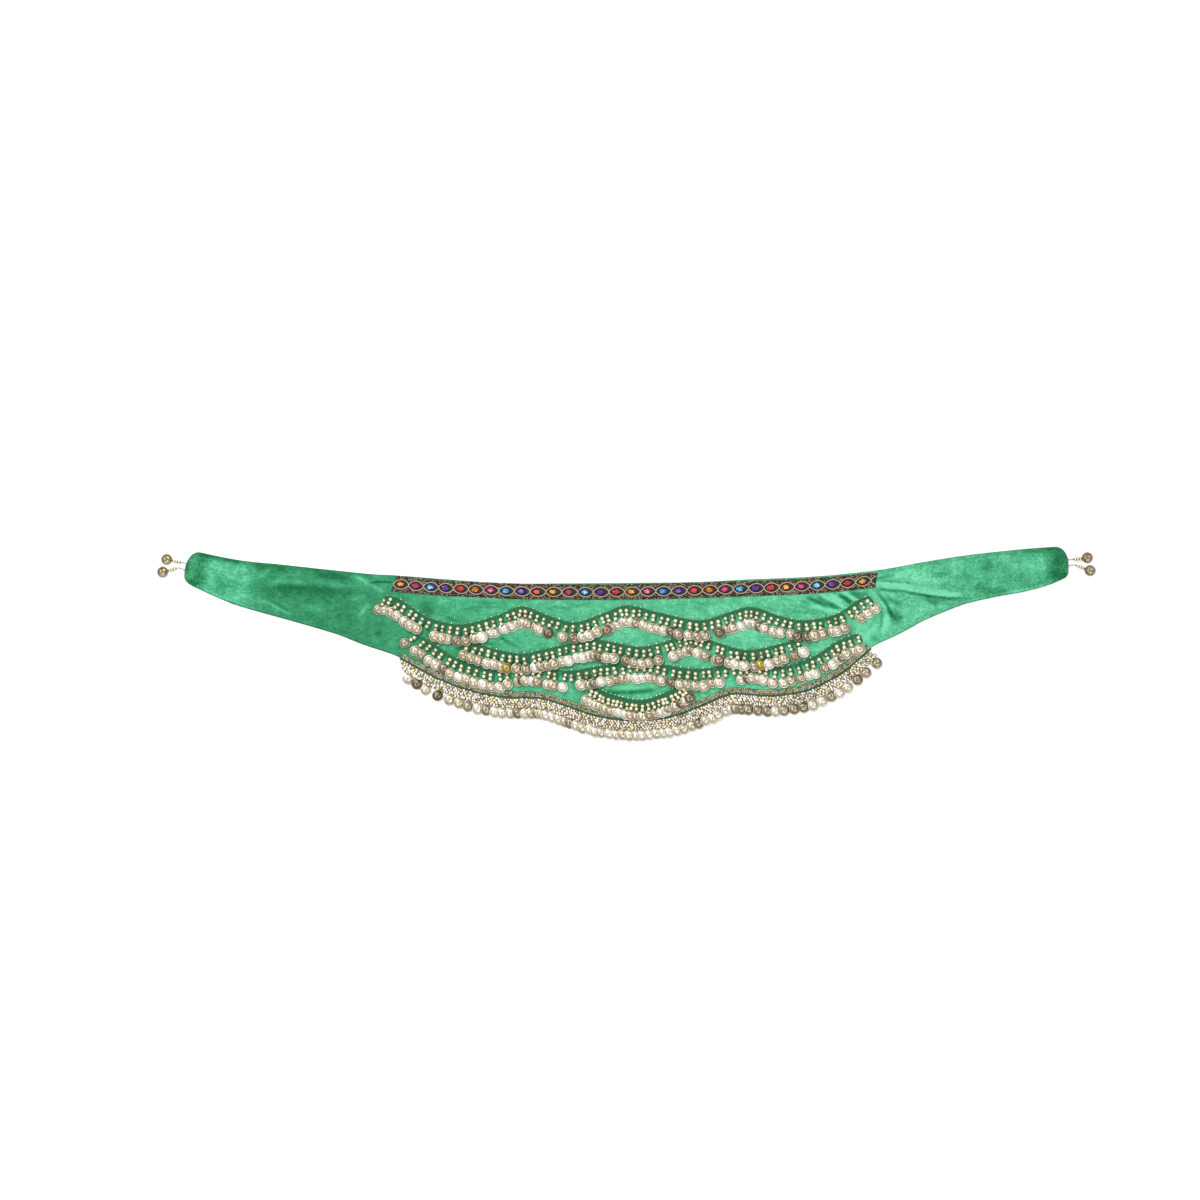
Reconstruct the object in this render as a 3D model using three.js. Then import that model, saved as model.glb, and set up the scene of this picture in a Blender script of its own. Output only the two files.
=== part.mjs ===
/**
 * Belly dance hip scarf, laid out flat with its right side up.
 *
 * One long velvet panel, a shallow curved triangle with two rounded tails, carries a jacquard
 * ribbon with oval stones along its top edge, four draped rows of beads and coins, and a braid,
 * piping, bead net and coin row along its lower edge. Two danglers, each a thread with beads and
 * a coin, leave each tail end.
 *
 * Millimetres, +Z up. The origin is the middle of the footprint, on the surface that the scarf
 * lies on. +X runs along the scarf, and +Y points from the fringe to the ribbon.
 */
import * as THREE from 'three';

// ---------------------------------------------------------------------------------------------
// Driving dimensions
// ---------------------------------------------------------------------------------------------

const HALF_LENGTH = 684;
const VELVET_THICKNESS = 2;
const SEAM_GAP = 0.3;

const PANEL_ROWS = 9;
const PANEL_COLUMN_STEP = 16;
const CREASE_COLUMN_STEP = 10;
const CREASE_ZONE = { fromX: 384, toX: 530 };
const END_COLUMN_STEPS = [0, 0.7, 2.2, 5, 9, 14, 20, 28];

/** Finished top edge of the panel, before its end corners are rounded. */
const TOP_EDGE = [
  { x: -684, y: 147.5 },
  { x: -628, y: 135 },
  { x: -587, y: 128 },
  { x: -545, y: 124 },
  { x: -462, y: 115 },
  { x: -393, y: 108 },
  { x: -355, y: 106 },
  { x: -278, y: 100 },
  { x: -188, y: 93.7 },
  { x: -102, y: 93.7 },
  { x: 21, y: 94.7 },
  { x: 110, y: 95.8 },
  { x: 190, y: 100 },
  { x: 259, y: 102.5 },
  { x: 324, y: 107 },
  { x: 398, y: 115.5 },
  { x: 462, y: 127 },
  { x: 526, y: 137 },
  { x: 618, y: 147 },
  { x: 684, y: 151.5 },
];

/** Finished lower edge of the panel, from tail to tail, before its end corners are rounded. */
const LOWER_EDGE = [
  { x: -684, y: 95.5 },
  { x: -669, y: 88.5 },
  { x: -640, y: 75 },
  { x: -603, y: 60 },
  { x: -512, y: 34 },
  { x: -448, y: 15 },
  { x: -407, y: -1 },
  { x: -357, y: -18 },
  { x: -330, y: -32 },
  { x: -291, y: -53 },
  { x: -242, y: -71 },
  { x: -212, y: -78 },
  { x: -183, y: -82 },
  { x: -132, y: -83.5 },
  { x: -88, y: -96.5 },
  { x: -55, y: -108 },
  { x: -20, y: -115 },
  { x: 13, y: -117 },
  { x: 45, y: -115 },
  { x: 80, y: -108.5 },
  { x: 120, y: -93 },
  { x: 154, y: -78.5 },
  { x: 174, y: -76 },
  { x: 219, y: -79.5 },
  { x: 264, y: -75 },
  { x: 298, y: -64 },
  { x: 338, y: -41 },
  { x: 368, y: -15.5 },
  { x: 381, y: -4 },
  { x: 423, y: 16 },
  { x: 462, y: 37 },
  { x: 500, y: 53 },
  { x: 526, y: 62.5 },
  { x: 577, y: 74 },
  { x: 616, y: 81 },
  { x: 654, y: 91.5 },
  { x: 684, y: 104.5 },
];

/** Rounded end corners: how far each reaches along X, and how far it pulls the edge in. */
const END_CORNERS = {
  leftTop: { reach: 26, pull: 42.5 },
  leftLower: { reach: 14, pull: 7.5 },
  rightTop: { reach: 20, pull: 28 },
  rightLower: { reach: 6, pull: 7 },
};

/** The largest soft ridges of the velvet: a line, the half width of the ridge and its height. */
const FOLDS = [
  { fromX: -520, fromY: 96, toX: -386, toY: 86, halfWidth: 15, height: 3.2 },
  { fromX: -462, fromY: 58, toX: -408, toY: 64, halfWidth: 12, height: 2.2 },
  { fromX: -470, fromY: 34, toX: -398, toY: 22, halfWidth: 14, height: 2.6 },
  { fromX: 398, fromY: 98, toX: 520, toY: 88, halfWidth: 11, height: 3.6 },
  { fromX: 400, fromY: 82, toX: 516, toY: 66, halfWidth: 10, height: 3.4 },
  { fromX: 408, fromY: 76, toX: 420, toY: 34, halfWidth: 11, height: 3.8 },
];

/** Centre line of the gem ribbon. */
const RIBBON_LINE = [
  { x: -366, y: 94 },
  { x: -300, y: 87.8 },
  { x: -257, y: 85.4 },
  { x: -178, y: 81.8 },
  { x: -118, y: 80.6 },
  { x: -39, y: 80.2 },
  { x: 37, y: 81.2 },
  { x: 120, y: 83.4 },
  { x: 174, y: 85.4 },
  { x: 249, y: 88 },
  { x: 323, y: 92.6 },
  { x: 390, y: 99.5 },
];
const RIBBON = {
  fromX: -359.5,
  toX: 386.5,
  width: 24,
  thickness: 1.1,
  columnStep: 15,
  leftSlant: 4.5,
  rightSlant: 2,
};
const STONES = { count: 31, length: 14, width: 9.6, height: 4, girdle: 1.1, table: 0.58, facets: 8 };
/** Where the stones sit: the number of a stone, and its place along X. */
const STONE_PLACES = [
  { x: 1, y: -349.5 },
  { x: 8, y: -187 },
  { x: 13, y: -64.8 },
  { x: 21, y: 128 },
  { x: 31, y: 365 },
];
const STONE_COLOURS = ['orange', 'pink', 'blue', 'purple', 'red'];

/** Heading lines of the draped rows, numbered from the ribbon down. */
const SWAG_LINES = {
  1: [
    { x: -373, y: 74 },
    { x: -353, y: 70 },
    { x: -315, y: 45 },
    { x: -290, y: 35 },
    { x: -251, y: 30 },
    { x: -201, y: 43 },
    { x: -161, y: 57.5 },
    { x: -117, y: 42 },
    { x: -79, y: 33 },
    { x: -35, y: 47 },
    { x: 1, y: 59 },
    { x: 51, y: 48 },
    { x: 113, y: 36 },
    { x: 161, y: 49 },
    { x: 195, y: 56.5 },
    { x: 239, y: 42 },
    { x: 275, y: 36 },
    { x: 324, y: 45 },
    { x: 358, y: 67 },
    { x: 376, y: 74 },
  ],
  2: [
    { x: -245, y: 5 },
    { x: -201, y: -9 },
    { x: -162, y: -15 },
    { x: -123, y: -8 },
    { x: -59, y: 6 },
    { x: -20, y: 2 },
    { x: 20, y: -5 },
    { x: 54, y: 1 },
    { x: 100, y: 15 },
    { x: 139, y: 2 },
    { x: 188, y: -10 },
    { x: 240, y: 0 },
    { x: 270, y: 9 },
  ],
  3: [
    { x: -322, y: 14 },
    { x: -298, y: 0 },
    { x: -259, y: -24 },
    { x: -202, y: -42 },
    { x: -157, y: -32 },
    { x: -94, y: -42 },
    { x: -31, y: -33 },
    { x: 29, y: -28 },
    { x: 108, y: -39 },
    { x: 195, y: -29 },
    { x: 240, y: -36 },
    { x: 290, y: -20 },
    { x: 327, y: 4 },
    { x: 357, y: 15.5 },
  ],
  4: [
    { x: -52, y: -64 },
    { x: -24, y: -78 },
    { x: 22, y: -87 },
    { x: 60, y: -76 },
    { x: 90, y: -61 },
  ],
};

/** Height of a draped row above what it lies on, at distances down from its heading line. */
const SWAG_BEAD_PROFILE = [
  { down: -3, height: 2.2 },
  { down: 1, height: 3 },
  { down: 6, height: 5 },
  { down: 12.4, height: 4.2 },
];
const SWAG_COIN_PROFILE = [
  { down: 12.7, height: 2.4 },
  { down: 19, height: 2.8 },
  { down: 26, height: 2.6 },
  { down: 32.5, height: 1.6 },
];
const SWAG_STATION_STEP = 16;
/** Share of a drop's direction that is square to its heading; the rest points straight down. */
const SWAG_SQUARENESS = 0.85;
/** The drops fan outwards over the last stretch of a row, by these turns in degrees at its ends. */
const SWAG_FAN = {
  1: { left: 34, right: 30 },
  2: { left: 6, right: 26 },
  3: { left: 32, right: 0 },
  4: { left: 4, right: 16 },
};
const SWAG_FAN_LENGTH = 34;
/** What one draped row adds to the height of the rows that cross over it. */
const SWAG_RISE = { beads: 5.4, coins: 3.2, margin: 11, ramp: 10 };

/** Trims along the lower edge, at distances outward from the velvet's finished edge. */
const BORDER = { fromX: -358, toX: 380 };
const BRAID = { from: -8.6, to: -0.8, thickness: 1.2 };
const PIPING = { radius: 1.5, halfSectionAngles: [157.5, 112.5, 67.5, 22.5] };
const NET_PROFILE = [
  { out: 3.7, height: 3.2 },
  { out: 9, height: 3.4 },
  { out: 15.2, height: 3.2 },
];
const FRINGE_COIN_PROFILE = [
  { out: 15.6, height: 2.4 },
  { out: 24, height: 2.4 },
  { out: 33.2, height: 1.8 },
];
/** The fringe hangs longer and leans inwards at its left end, and fans outwards at its right end. */
const FRINGE_LEFT_END = { extraReach: 0.2, leanX: 0.35, leanY: -0.94, fadeLength: 55 };
const FRINGE_RIGHT_END = { turnDegrees: 34, fadeLength: 34 };
/** How far the trims of the lower edge lift a draped row that lies over them. */
const BORDER_RISE = { height: 1.7, inside: 20, ramp: 12 };

/**
 * Danglers: the stitch in the hem that each thread starts from, the point where it turns into its
 * beads, and the middle of its coin, each as [x, y].
 */
const DANGLERS = [
  { name: 'left_upper', stitch: [-674.8, 123.4], turn: [-690.4, 126.8], coin: [-711.3, 130.8] },
  { name: 'left_lower', stitch: [-677.2, 111.2], turn: [-696.8, 117.2], coin: [-717.4, 111.4] },
  { name: 'right_upper', stitch: [676.6, 132.8], turn: [692.7, 130.8], coin: [713.4, 133.4] },
  { name: 'right_lower', stitch: [677.4, 118.4], turn: [696.7, 121.2], coin: [717.6, 113.6] },
];
const THREAD = { radius: 0.5, sides: 8, steps: 14, turnReach: 8, coinOverlap: 3.2 };
const DANGLER_COIN = { radius: 8.6, thickness: 1.2, sides: 24 };
const BEAD = { count: 3, radius: 2.7, neck: 1.9, length: 3.9, bore: 0.87, sides: 8 };

// ---------------------------------------------------------------------------------------------
// Finishes
// ---------------------------------------------------------------------------------------------

const finish = (color, roughness, metalness = 0) =>
  new THREE.MeshStandardMaterial({ color, roughness, metalness });

const FINISHES = {
  velvet: finish(0x3aa374, 0.85),
  ribbon: finish(0x1c1216, 0.8),
  beads: finish(0xcaa24a, 0.35, 0.6),
  coins: finish(0xd8cdb4, 0.35, 1),
  braid: finish(0xb9a7a4, 0.5, 0.4),
  piping: finish(0x2a7a58, 0.8),
  thread: finish(0x1f4a39, 0.8),
  orange: finish(0xf08a1c, 0.1),
  pink: finish(0xe0338c, 0.1),
  blue: finish(0x3ba7dc, 0.1),
  purple: finish(0x6b3fa8, 0.1),
  red: finish(0xd42a2a, 0.1),
};

// ---------------------------------------------------------------------------------------------
// Geometry helpers
// ---------------------------------------------------------------------------------------------

const scarf = new THREE.Group();

/** Adds one named sub-part to the scarf. */
function addPart(name, geometry, finishName) {
  const mesh = new THREE.Mesh(geometry, FINISHES[finishName]);
  mesh.name = name;
  scarf.add(mesh);
  return mesh;
}

const clamp01 = (value) => Math.min(Math.max(value, 0), 1);

/** Height y at x on a smooth curve through rows of {x, y}: a cubic between each two rows. */
function edgeHeight(rows, x) {
  const last = rows.length - 2;
  let i = 0;
  while (i < last && x > rows[i + 1].x) {
    i += 1;
  }
  const slopeAt = (k) => {
    const before = rows[Math.max(k - 1, 0)];
    const after = rows[Math.min(k + 1, rows.length - 1)];
    return (after.y - before.y) / (after.x - before.x);
  };
  const span = rows[i + 1].x - rows[i].x;
  const t = (x - rows[i].x) / span;
  const startWeight = (1 + 2 * t) * (1 - t) ** 2;
  const startSlopeWeight = t * (1 - t) ** 2;
  const endWeight = t * t * (3 - 2 * t);
  const endSlopeWeight = t * t * (t - 1);
  return rows[i].y * startWeight + rows[i + 1].y * endWeight
    + span * (slopeAt(i) * startSlopeWeight + slopeAt(i + 1) * endSlopeWeight);
}

/** Evenly spaced values from start to end, both included, no further apart than step. */
function spacedValues(start, end, step) {
  const count = Math.ceil((end - start) / step);
  return Array.from({ length: count + 1 }, (_, i) => start + ((end - start) * i) / count);
}

/** A mesh from points and triangles, turned inside out if its faces point inwards. */
function solidGeometry(points, triangles) {
  const volume = triangles.reduce((sum, [a, b, c]) => {
    const cross = new THREE.Vector3().crossVectors(points[b], points[c]);
    return sum + points[a].dot(cross);
  }, 0);
  const outward = volume > 0 ? triangles : triangles.map(([a, b, c]) => [a, c, b]);
  const geometry = new THREE.BufferGeometry();
  geometry.setFromPoints(points);
  geometry.setIndex(outward.flat());
  geometry.computeVertexNormals();
  return geometry;
}

/** A closed wall between two grids of points: upper[i][j] lies over lower[i][j]. */
function wallGeometry(upper, lower) {
  const columns = upper.length;
  const rows = upper[0].length;
  const points = [...upper.flat(), ...lower.flat()];
  const top = (i, j) => i * rows + j;
  const bottom = (i, j) => columns * rows + i * rows + j;
  const triangles = [];
  const addQuad = (a, b, c, d) => triangles.push([a, b, c], [a, c, d]);
  for (let i = 0; i < columns - 1; i += 1) {
    for (let j = 0; j < rows - 1; j += 1) {
      addQuad(top(i, j), top(i + 1, j), top(i + 1, j + 1), top(i, j + 1));
      addQuad(bottom(i, j), bottom(i, j + 1), bottom(i + 1, j + 1), bottom(i + 1, j));
    }
    addQuad(bottom(i, 0), bottom(i + 1, 0), top(i + 1, 0), top(i, 0));
    addQuad(top(i, rows - 1), top(i + 1, rows - 1), bottom(i + 1, rows - 1), bottom(i, rows - 1));
  }
  for (let j = 0; j < rows - 1; j += 1) {
    addQuad(top(0, j), top(0, j + 1), bottom(0, j + 1), bottom(0, j));
    const last = columns - 1;
    addQuad(bottom(last, j), bottom(last, j + 1), top(last, j + 1), top(last, j));
  }
  return solidGeometry(points, triangles);
}

/** A round bar along a curve. */
function barGeometry(curve, radius, sides, steps) {
  const section = new THREE.Shape(
    Array.from({ length: sides }, (_, k) => {
      const angle = (2 * Math.PI * k) / sides;
      return new THREE.Vector2(radius * Math.cos(angle), radius * Math.sin(angle));
    }),
  );
  return new THREE.ExtrudeGeometry(section, { steps, extrudePath: curve, bevelEnabled: false });
}

// ---------------------------------------------------------------------------------------------
// Velvet panel
// ---------------------------------------------------------------------------------------------

/** How far a rounded end corner pulls the edge in, at a distance from the tail's end. */
function cornerPull(corner, distance) {
  const t = 1 - clamp01(distance / corner.reach);
  return corner.pull * (1 - Math.sqrt(1 - t * t));
}

function panelTop(x) {
  return edgeHeight(TOP_EDGE, x)
    - cornerPull(END_CORNERS.leftTop, x + HALF_LENGTH)
    - cornerPull(END_CORNERS.rightTop, HALF_LENGTH - x);
}

function panelBottom(x) {
  return edgeHeight(LOWER_EDGE, x)
    + cornerPull(END_CORNERS.leftLower, x + HALF_LENGTH)
    + cornerPull(END_CORNERS.rightLower, HALF_LENGTH - x);
}

/** How high the soft ridges lift the velvet off the surface at a point. */
function foldLift(x, y) {
  return Math.max(...FOLDS.map((fold) => {
    const along = new THREE.Vector2(fold.toX - fold.fromX, fold.toY - fold.fromY);
    const offset = new THREE.Vector2(x - fold.fromX, y - fold.fromY);
    const t = clamp01(offset.dot(along) / along.lengthSq());
    const distance = offset.addScaledVector(along, -t).length();
    const across = clamp01(1 - (distance / fold.halfWidth) ** 2) ** 2;
    return fold.height * across * Math.sqrt(4 * t * (1 - t));
  }));
}

function panelColumns() {
  const inner = HALF_LENGTH - END_COLUMN_STEPS.at(-1);
  return [
    ...END_COLUMN_STEPS.slice(0, -1).map((step) => step - HALF_LENGTH),
    ...spacedValues(-inner, CREASE_ZONE.fromX, PANEL_COLUMN_STEP),
    ...spacedValues(CREASE_ZONE.fromX, CREASE_ZONE.toX, CREASE_COLUMN_STEP).slice(1),
    ...spacedValues(CREASE_ZONE.toX, inner, PANEL_COLUMN_STEP).slice(1),
    ...END_COLUMN_STEPS.slice(0, -1).map((step) => HALF_LENGTH - step).reverse(),
  ];
}

function addVelvetBody() {
  const gridAt = (thickness) => panelColumns().map((x) =>
    Array.from({ length: PANEL_ROWS + 1 }, (_, j) => {
      const y = THREE.MathUtils.lerp(panelBottom(x), panelTop(x), j / PANEL_ROWS);
      return new THREE.Vector3(x, y, foldLift(x, y) + thickness);
    }));
  addPart('velvet_body', wallGeometry(gridAt(VELVET_THICKNESS), gridAt(0)), 'velvet');
}

// ---------------------------------------------------------------------------------------------
// Gem ribbon and its stones
// ---------------------------------------------------------------------------------------------

const RIBBON_UNDERSIDE = VELVET_THICKNESS + SEAM_GAP;

function addGemRibbon() {
  const gridAt = (z) => spacedValues(RIBBON.fromX, RIBBON.toX, RIBBON.columnStep).map((x) => {
    const nearLeft = clamp01(1 - (x - RIBBON.fromX) / (3 * RIBBON.columnStep));
    const nearRight = clamp01(1 - (RIBBON.toX - x) / (3 * RIBBON.columnStep));
    return [-1, 1].map((side) => new THREE.Vector3(
      x + side * (RIBBON.leftSlant * nearLeft + RIBBON.rightSlant * nearRight),
      edgeHeight(RIBBON_LINE, x) + (side * RIBBON.width) / 2,
      z,
    ));
  });
  const ribbon = wallGeometry(gridAt(RIBBON_UNDERSIDE + RIBBON.thickness), gridAt(RIBBON_UNDERSIDE));
  addPart('gem_ribbon', ribbon, 'ribbon');
}

/** A faceted oval stone: a flat back, a short girdle and a crown that slopes to a flat table. */
function stoneGeometry() {
  const rings = [
    { size: 1, z: 0 },
    { size: 1, z: STONES.girdle },
    { size: STONES.table, z: STONES.height },
  ];
  const profile = [
    new THREE.Vector2(0, 0),
    ...rings.map((ring) => new THREE.Vector2(ring.size, ring.z)),
    new THREE.Vector2(0, STONES.height),
  ];
  const stone = new THREE.LatheGeometry(profile, STONES.facets);
  stone.rotateX(Math.PI / 2);
  stone.scale(STONES.length / 2, STONES.width / 2, 1);
  return stone;
}

function addStones() {
  const backHeight = RIBBON_UNDERSIDE + RIBBON.thickness + SEAM_GAP;
  for (let number = 1; number <= STONES.count; number += 1) {
    const x = edgeHeight(STONE_PLACES, number);
    const slope = edgeHeight(RIBBON_LINE, x + 1) - edgeHeight(RIBBON_LINE, x);
    const colour = STONE_COLOURS[(number - 1) % STONE_COLOURS.length];
    const stone = addPart(`gem_${String(number).padStart(2, '0')}`, stoneGeometry(), colour);
    stone.rotation.z = Math.atan(slope);
    stone.position.set(x, edgeHeight(RIBBON_LINE, x), backHeight);
  }
}

// ---------------------------------------------------------------------------------------------
// Draped rows of beads and coins
// ---------------------------------------------------------------------------------------------

/** Stations along a draped row: a point on its heading, and the way that its drops hang. */
function swagStations(rows, fan) {
  const line = new THREE.SplineCurve(rows.map(({ x, y }) => new THREE.Vector2(x, y)));
  const length = line.getLength();
  const count = Math.round(length / SWAG_STATION_STEP);
  return Array.from({ length: count + 1 }, (_, i) => {
    const t = i / count;
    const tangent = line.getTangentAt(t);
    const down = new THREE.Vector2(tangent.y, -tangent.x).multiplyScalar(SWAG_SQUARENESS);
    down.y -= 1 - SWAG_SQUARENESS;
    const nearLeft = clamp01(1 - (t * length) / SWAG_FAN_LENGTH);
    const nearRight = clamp01(1 - ((1 - t) * length) / SWAG_FAN_LENGTH);
    const turn = THREE.MathUtils.degToRad(fan.right * nearRight - fan.left * nearLeft);
    down.rotateAround(new THREE.Vector2(), turn);
    return { heading: line.getPointAt(t), down: down.normalize() };
  });
}

const pointDown = (station, distance) =>
  station.heading.clone().addScaledVector(station.down, distance);

/** Distance from a point to the line through a row's stations, at a distance down from the heading. */
function distanceToRow(point, stations, down) {
  let nearest = Infinity;
  for (let i = 0; i < stations.length - 1; i += 1) {
    const start = pointDown(stations[i], down);
    const along = pointDown(stations[i + 1], down).sub(start);
    const offset = point.clone().sub(start);
    const t = clamp01(offset.dot(along) / along.lengthSq());
    nearest = Math.min(nearest, offset.addScaledVector(along, -t).length());
  }
  return nearest;
}

/** How far a draped row lifts what crosses over it at a point: full inside it, fading around it. */
function swagRise(point, stations) {
  const riseOf = (profile, height) => {
    const first = profile[0].down;
    const last = profile.at(-1).down;
    const outside = distanceToRow(point, stations, (first + last) / 2) - (last - first) / 2;
    return height * clamp01((SWAG_RISE.margin + SWAG_RISE.ramp - outside) / SWAG_RISE.ramp);
  };
  return Math.max(
    riseOf(SWAG_BEAD_PROFILE, SWAG_RISE.beads),
    riseOf(SWAG_COIN_PROFILE, SWAG_RISE.coins),
  );
}

/** How far the trims of the lower edge lift what lies over them. */
function borderRise(point) {
  const inside = point.y - panelBottom(point.x);
  const { height, inside: full, ramp } = BORDER_RISE;
  return height * clamp01((full + ramp - inside) / ramp);
}

function addSwags() {
  const laid = [];
  for (const number of [4, 3, 2, 1]) {
    const stations = swagStations(SWAG_LINES[number], SWAG_FAN[number]);
    const baseAt = (point) => VELVET_THICKNESS + SEAM_GAP + foldLift(point.x, point.y)
      + borderRise(point) + laid.reduce((sum, lower) => sum + swagRise(point, lower), 0);
    const gridOf = (profile, heightScale) => stations.map((station) =>
      profile.map(({ down, height }) => {
        const point = pointDown(station, down);
        return new THREE.Vector3(point.x, point.y, baseAt(point) + height * heightScale);
      }));
    const bandOf = (profile) => wallGeometry(gridOf(profile, 1), gridOf(profile, 0));
    addPart(`swag_${number}_beads`, bandOf(SWAG_BEAD_PROFILE), 'beads');
    addPart(`swag_${number}_coins`, bandOf(SWAG_COIN_PROFILE), 'coins');
    laid.push(stations);
  }
}

// ---------------------------------------------------------------------------------------------
// Trims of the lower edge
// ---------------------------------------------------------------------------------------------

/** Stations at the panel's columns: a point on the lower edge, its normal, and how the fringe hangs. */
function borderStations() {
  return panelColumns().filter((x) => x > BORDER.fromX && x < BORDER.toX).map((x) => {
    const slope = (panelBottom(x + 2) - panelBottom(x - 2)) / 4;
    const outward = new THREE.Vector2(slope, -1).normalize();
    const nearLeft = Math.exp((BORDER.fromX - x) / FRINGE_LEFT_END.fadeLength);
    const nearRight = clamp01(1 - (BORDER.toX - x) / FRINGE_RIGHT_END.fadeLength);
    const lean = new THREE.Vector2(FRINGE_LEFT_END.leanX, FRINGE_LEFT_END.leanY);
    const turn = THREE.MathUtils.degToRad(FRINGE_RIGHT_END.turnDegrees * nearRight);
    const hang = outward.clone().lerp(lean, nearLeft).rotateAround(new THREE.Vector2(), turn);
    hang.normalize().multiplyScalar(1 + FRINGE_LEFT_END.extraReach * nearLeft);
    return { edge: new THREE.Vector2(x, panelBottom(x)), outward, hang };
  });
}

function addBorder() {
  const stations = borderStations();

  const braidGrid = (z) => stations.map(({ edge, outward }) =>
    [BRAID.from, BRAID.to].map((distance) => {
      const point = edge.clone().addScaledVector(outward, distance);
      return new THREE.Vector3(point.x, point.y, z);
    }));
  const braidUnderside = VELVET_THICKNESS + SEAM_GAP;
  const braid = wallGeometry(braidGrid(braidUnderside + BRAID.thickness), braidGrid(braidUnderside));
  addPart('edge_braid', braid, 'braid');

  const pipingGrid = (side) => stations.map(({ edge, outward }) =>
    PIPING.halfSectionAngles.map((degrees) => {
      const angle = THREE.MathUtils.degToRad(degrees);
      const middle = SEAM_GAP + PIPING.radius;
      const point = edge.clone().addScaledVector(outward, middle + PIPING.radius * Math.cos(angle));
      return new THREE.Vector3(point.x, point.y, PIPING.radius * (1 + side * Math.sin(angle)));
    }));
  addPart('edge_piping', wallGeometry(pipingGrid(1), pipingGrid(-1)), 'piping');

  const fringeGrid = (profile, heightScale) => stations.map(({ edge, outward, hang }) =>
    profile.map(({ out, height }) => {
      const clearOfPiping = NET_PROFILE[0].out;
      const point = edge.clone().addScaledVector(outward, clearOfPiping);
      point.addScaledVector(hang, out - clearOfPiping);
      return new THREE.Vector3(point.x, point.y, height * heightScale);
    }));
  const fringeBand = (profile) => wallGeometry(fringeGrid(profile, 1), fringeGrid(profile, 0));
  addPart('fringe_net', fringeBand(NET_PROFILE), 'beads');
  addPart('fringe_coins', fringeBand(FRINGE_COIN_PROFILE), 'coins');
}

// ---------------------------------------------------------------------------------------------
// Danglers at the tail ends
// ---------------------------------------------------------------------------------------------

/** Three beads in a stack, with the thread's bore through them, around +Z from zero up. */
function beadStackGeometry() {
  const outer = Array.from({ length: BEAD.count }, (_, i) => [
    new THREE.Vector2(BEAD.neck, BEAD.length * i),
    new THREE.Vector2(BEAD.radius, BEAD.length * (i + 0.3)),
    new THREE.Vector2(BEAD.radius, BEAD.length * (i + 0.7)),
  ]).flat();
  const length = BEAD.count * BEAD.length;
  const profile = [
    new THREE.Vector2(BEAD.bore, 0),
    ...outer,
    new THREE.Vector2(BEAD.neck, length),
    new THREE.Vector2(BEAD.bore, length),
    new THREE.Vector2(BEAD.bore, 0),
  ];
  return new THREE.LatheGeometry(profile, BEAD.sides);
}

function addDangler(dangler) {
  const node = `dangler_${dangler.name}`;
  const threadHeight = VELVET_THICKNESS + SEAM_GAP + THREAD.radius;
  const coinTopHeight = DANGLER_COIN.thickness + SEAM_GAP + THREAD.radius;
  const stitch = new THREE.Vector3(...dangler.stitch, threadHeight);
  const turn = new THREE.Vector3(...dangler.turn, threadHeight);
  const away = new THREE.Vector3(...dangler.coin, threadHeight).sub(turn);
  const coinEdge = away.length() - DANGLER_COIN.radius;
  away.normalize();
  const pastTurn = (distance, height = threadHeight) =>
    turn.clone().addScaledVector(away, distance).setZ(height);

  const beadsLength = BEAD.count * BEAD.length;
  const route = new THREE.CurvePath();
  const toBeads = turn.clone().addScaledVector(away, -THREAD.turnReach);
  route.add(new THREE.QuadraticBezierCurve3(stitch, toBeads, turn));
  route.add(new THREE.LineCurve3(turn, pastTurn(beadsLength)));
  route.add(new THREE.CubicBezierCurve3(
    pastTurn(beadsLength),
    pastTurn(coinEdge),
    pastTurn(coinEdge + THREAD.coinOverlap / 2, coinTopHeight),
    pastTurn(coinEdge + THREAD.coinOverlap, coinTopHeight),
  ));
  const thread = barGeometry(route, THREAD.radius, THREAD.sides, THREAD.steps);
  addPart(`${node}_thread`, thread, 'thread');

  const beads = addPart(`${node}_beads`, beadStackGeometry(), 'beads');
  beads.quaternion.setFromUnitVectors(new THREE.Vector3(0, 1, 0), away);
  beads.position.copy(turn);

  const { radius, thickness, sides } = DANGLER_COIN;
  const disc = new THREE.CylinderGeometry(radius, radius, thickness, sides);
  const coin = addPart(`${node}_coin`, disc, 'coins');
  coin.rotation.x = Math.PI / 2;
  coin.position.set(...dangler.coin, thickness / 2);
}

addVelvetBody();
addGemRibbon();
addStones();
addSwags();
addBorder();
DANGLERS.forEach(addDangler);

export default scarf;
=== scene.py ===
# %% [markdown]
# # A belly dance hip scarf
#
# The scarf is one shallow, curved triangle of green velvet with two long tails. A woven ribbon
# with oval stones runs along its top edge, four rows of gold beads and thin coins are draped
# across it, and a metallic braid, a piping, a net of beads and a last row of coins finish its
# lower edge. It lies flat on a table, right side up.
#
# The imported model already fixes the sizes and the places. This lesson makes the pieces that are
# seen. Lengths are worked out in millimetres and turned to metres when a mesh is made.

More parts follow.
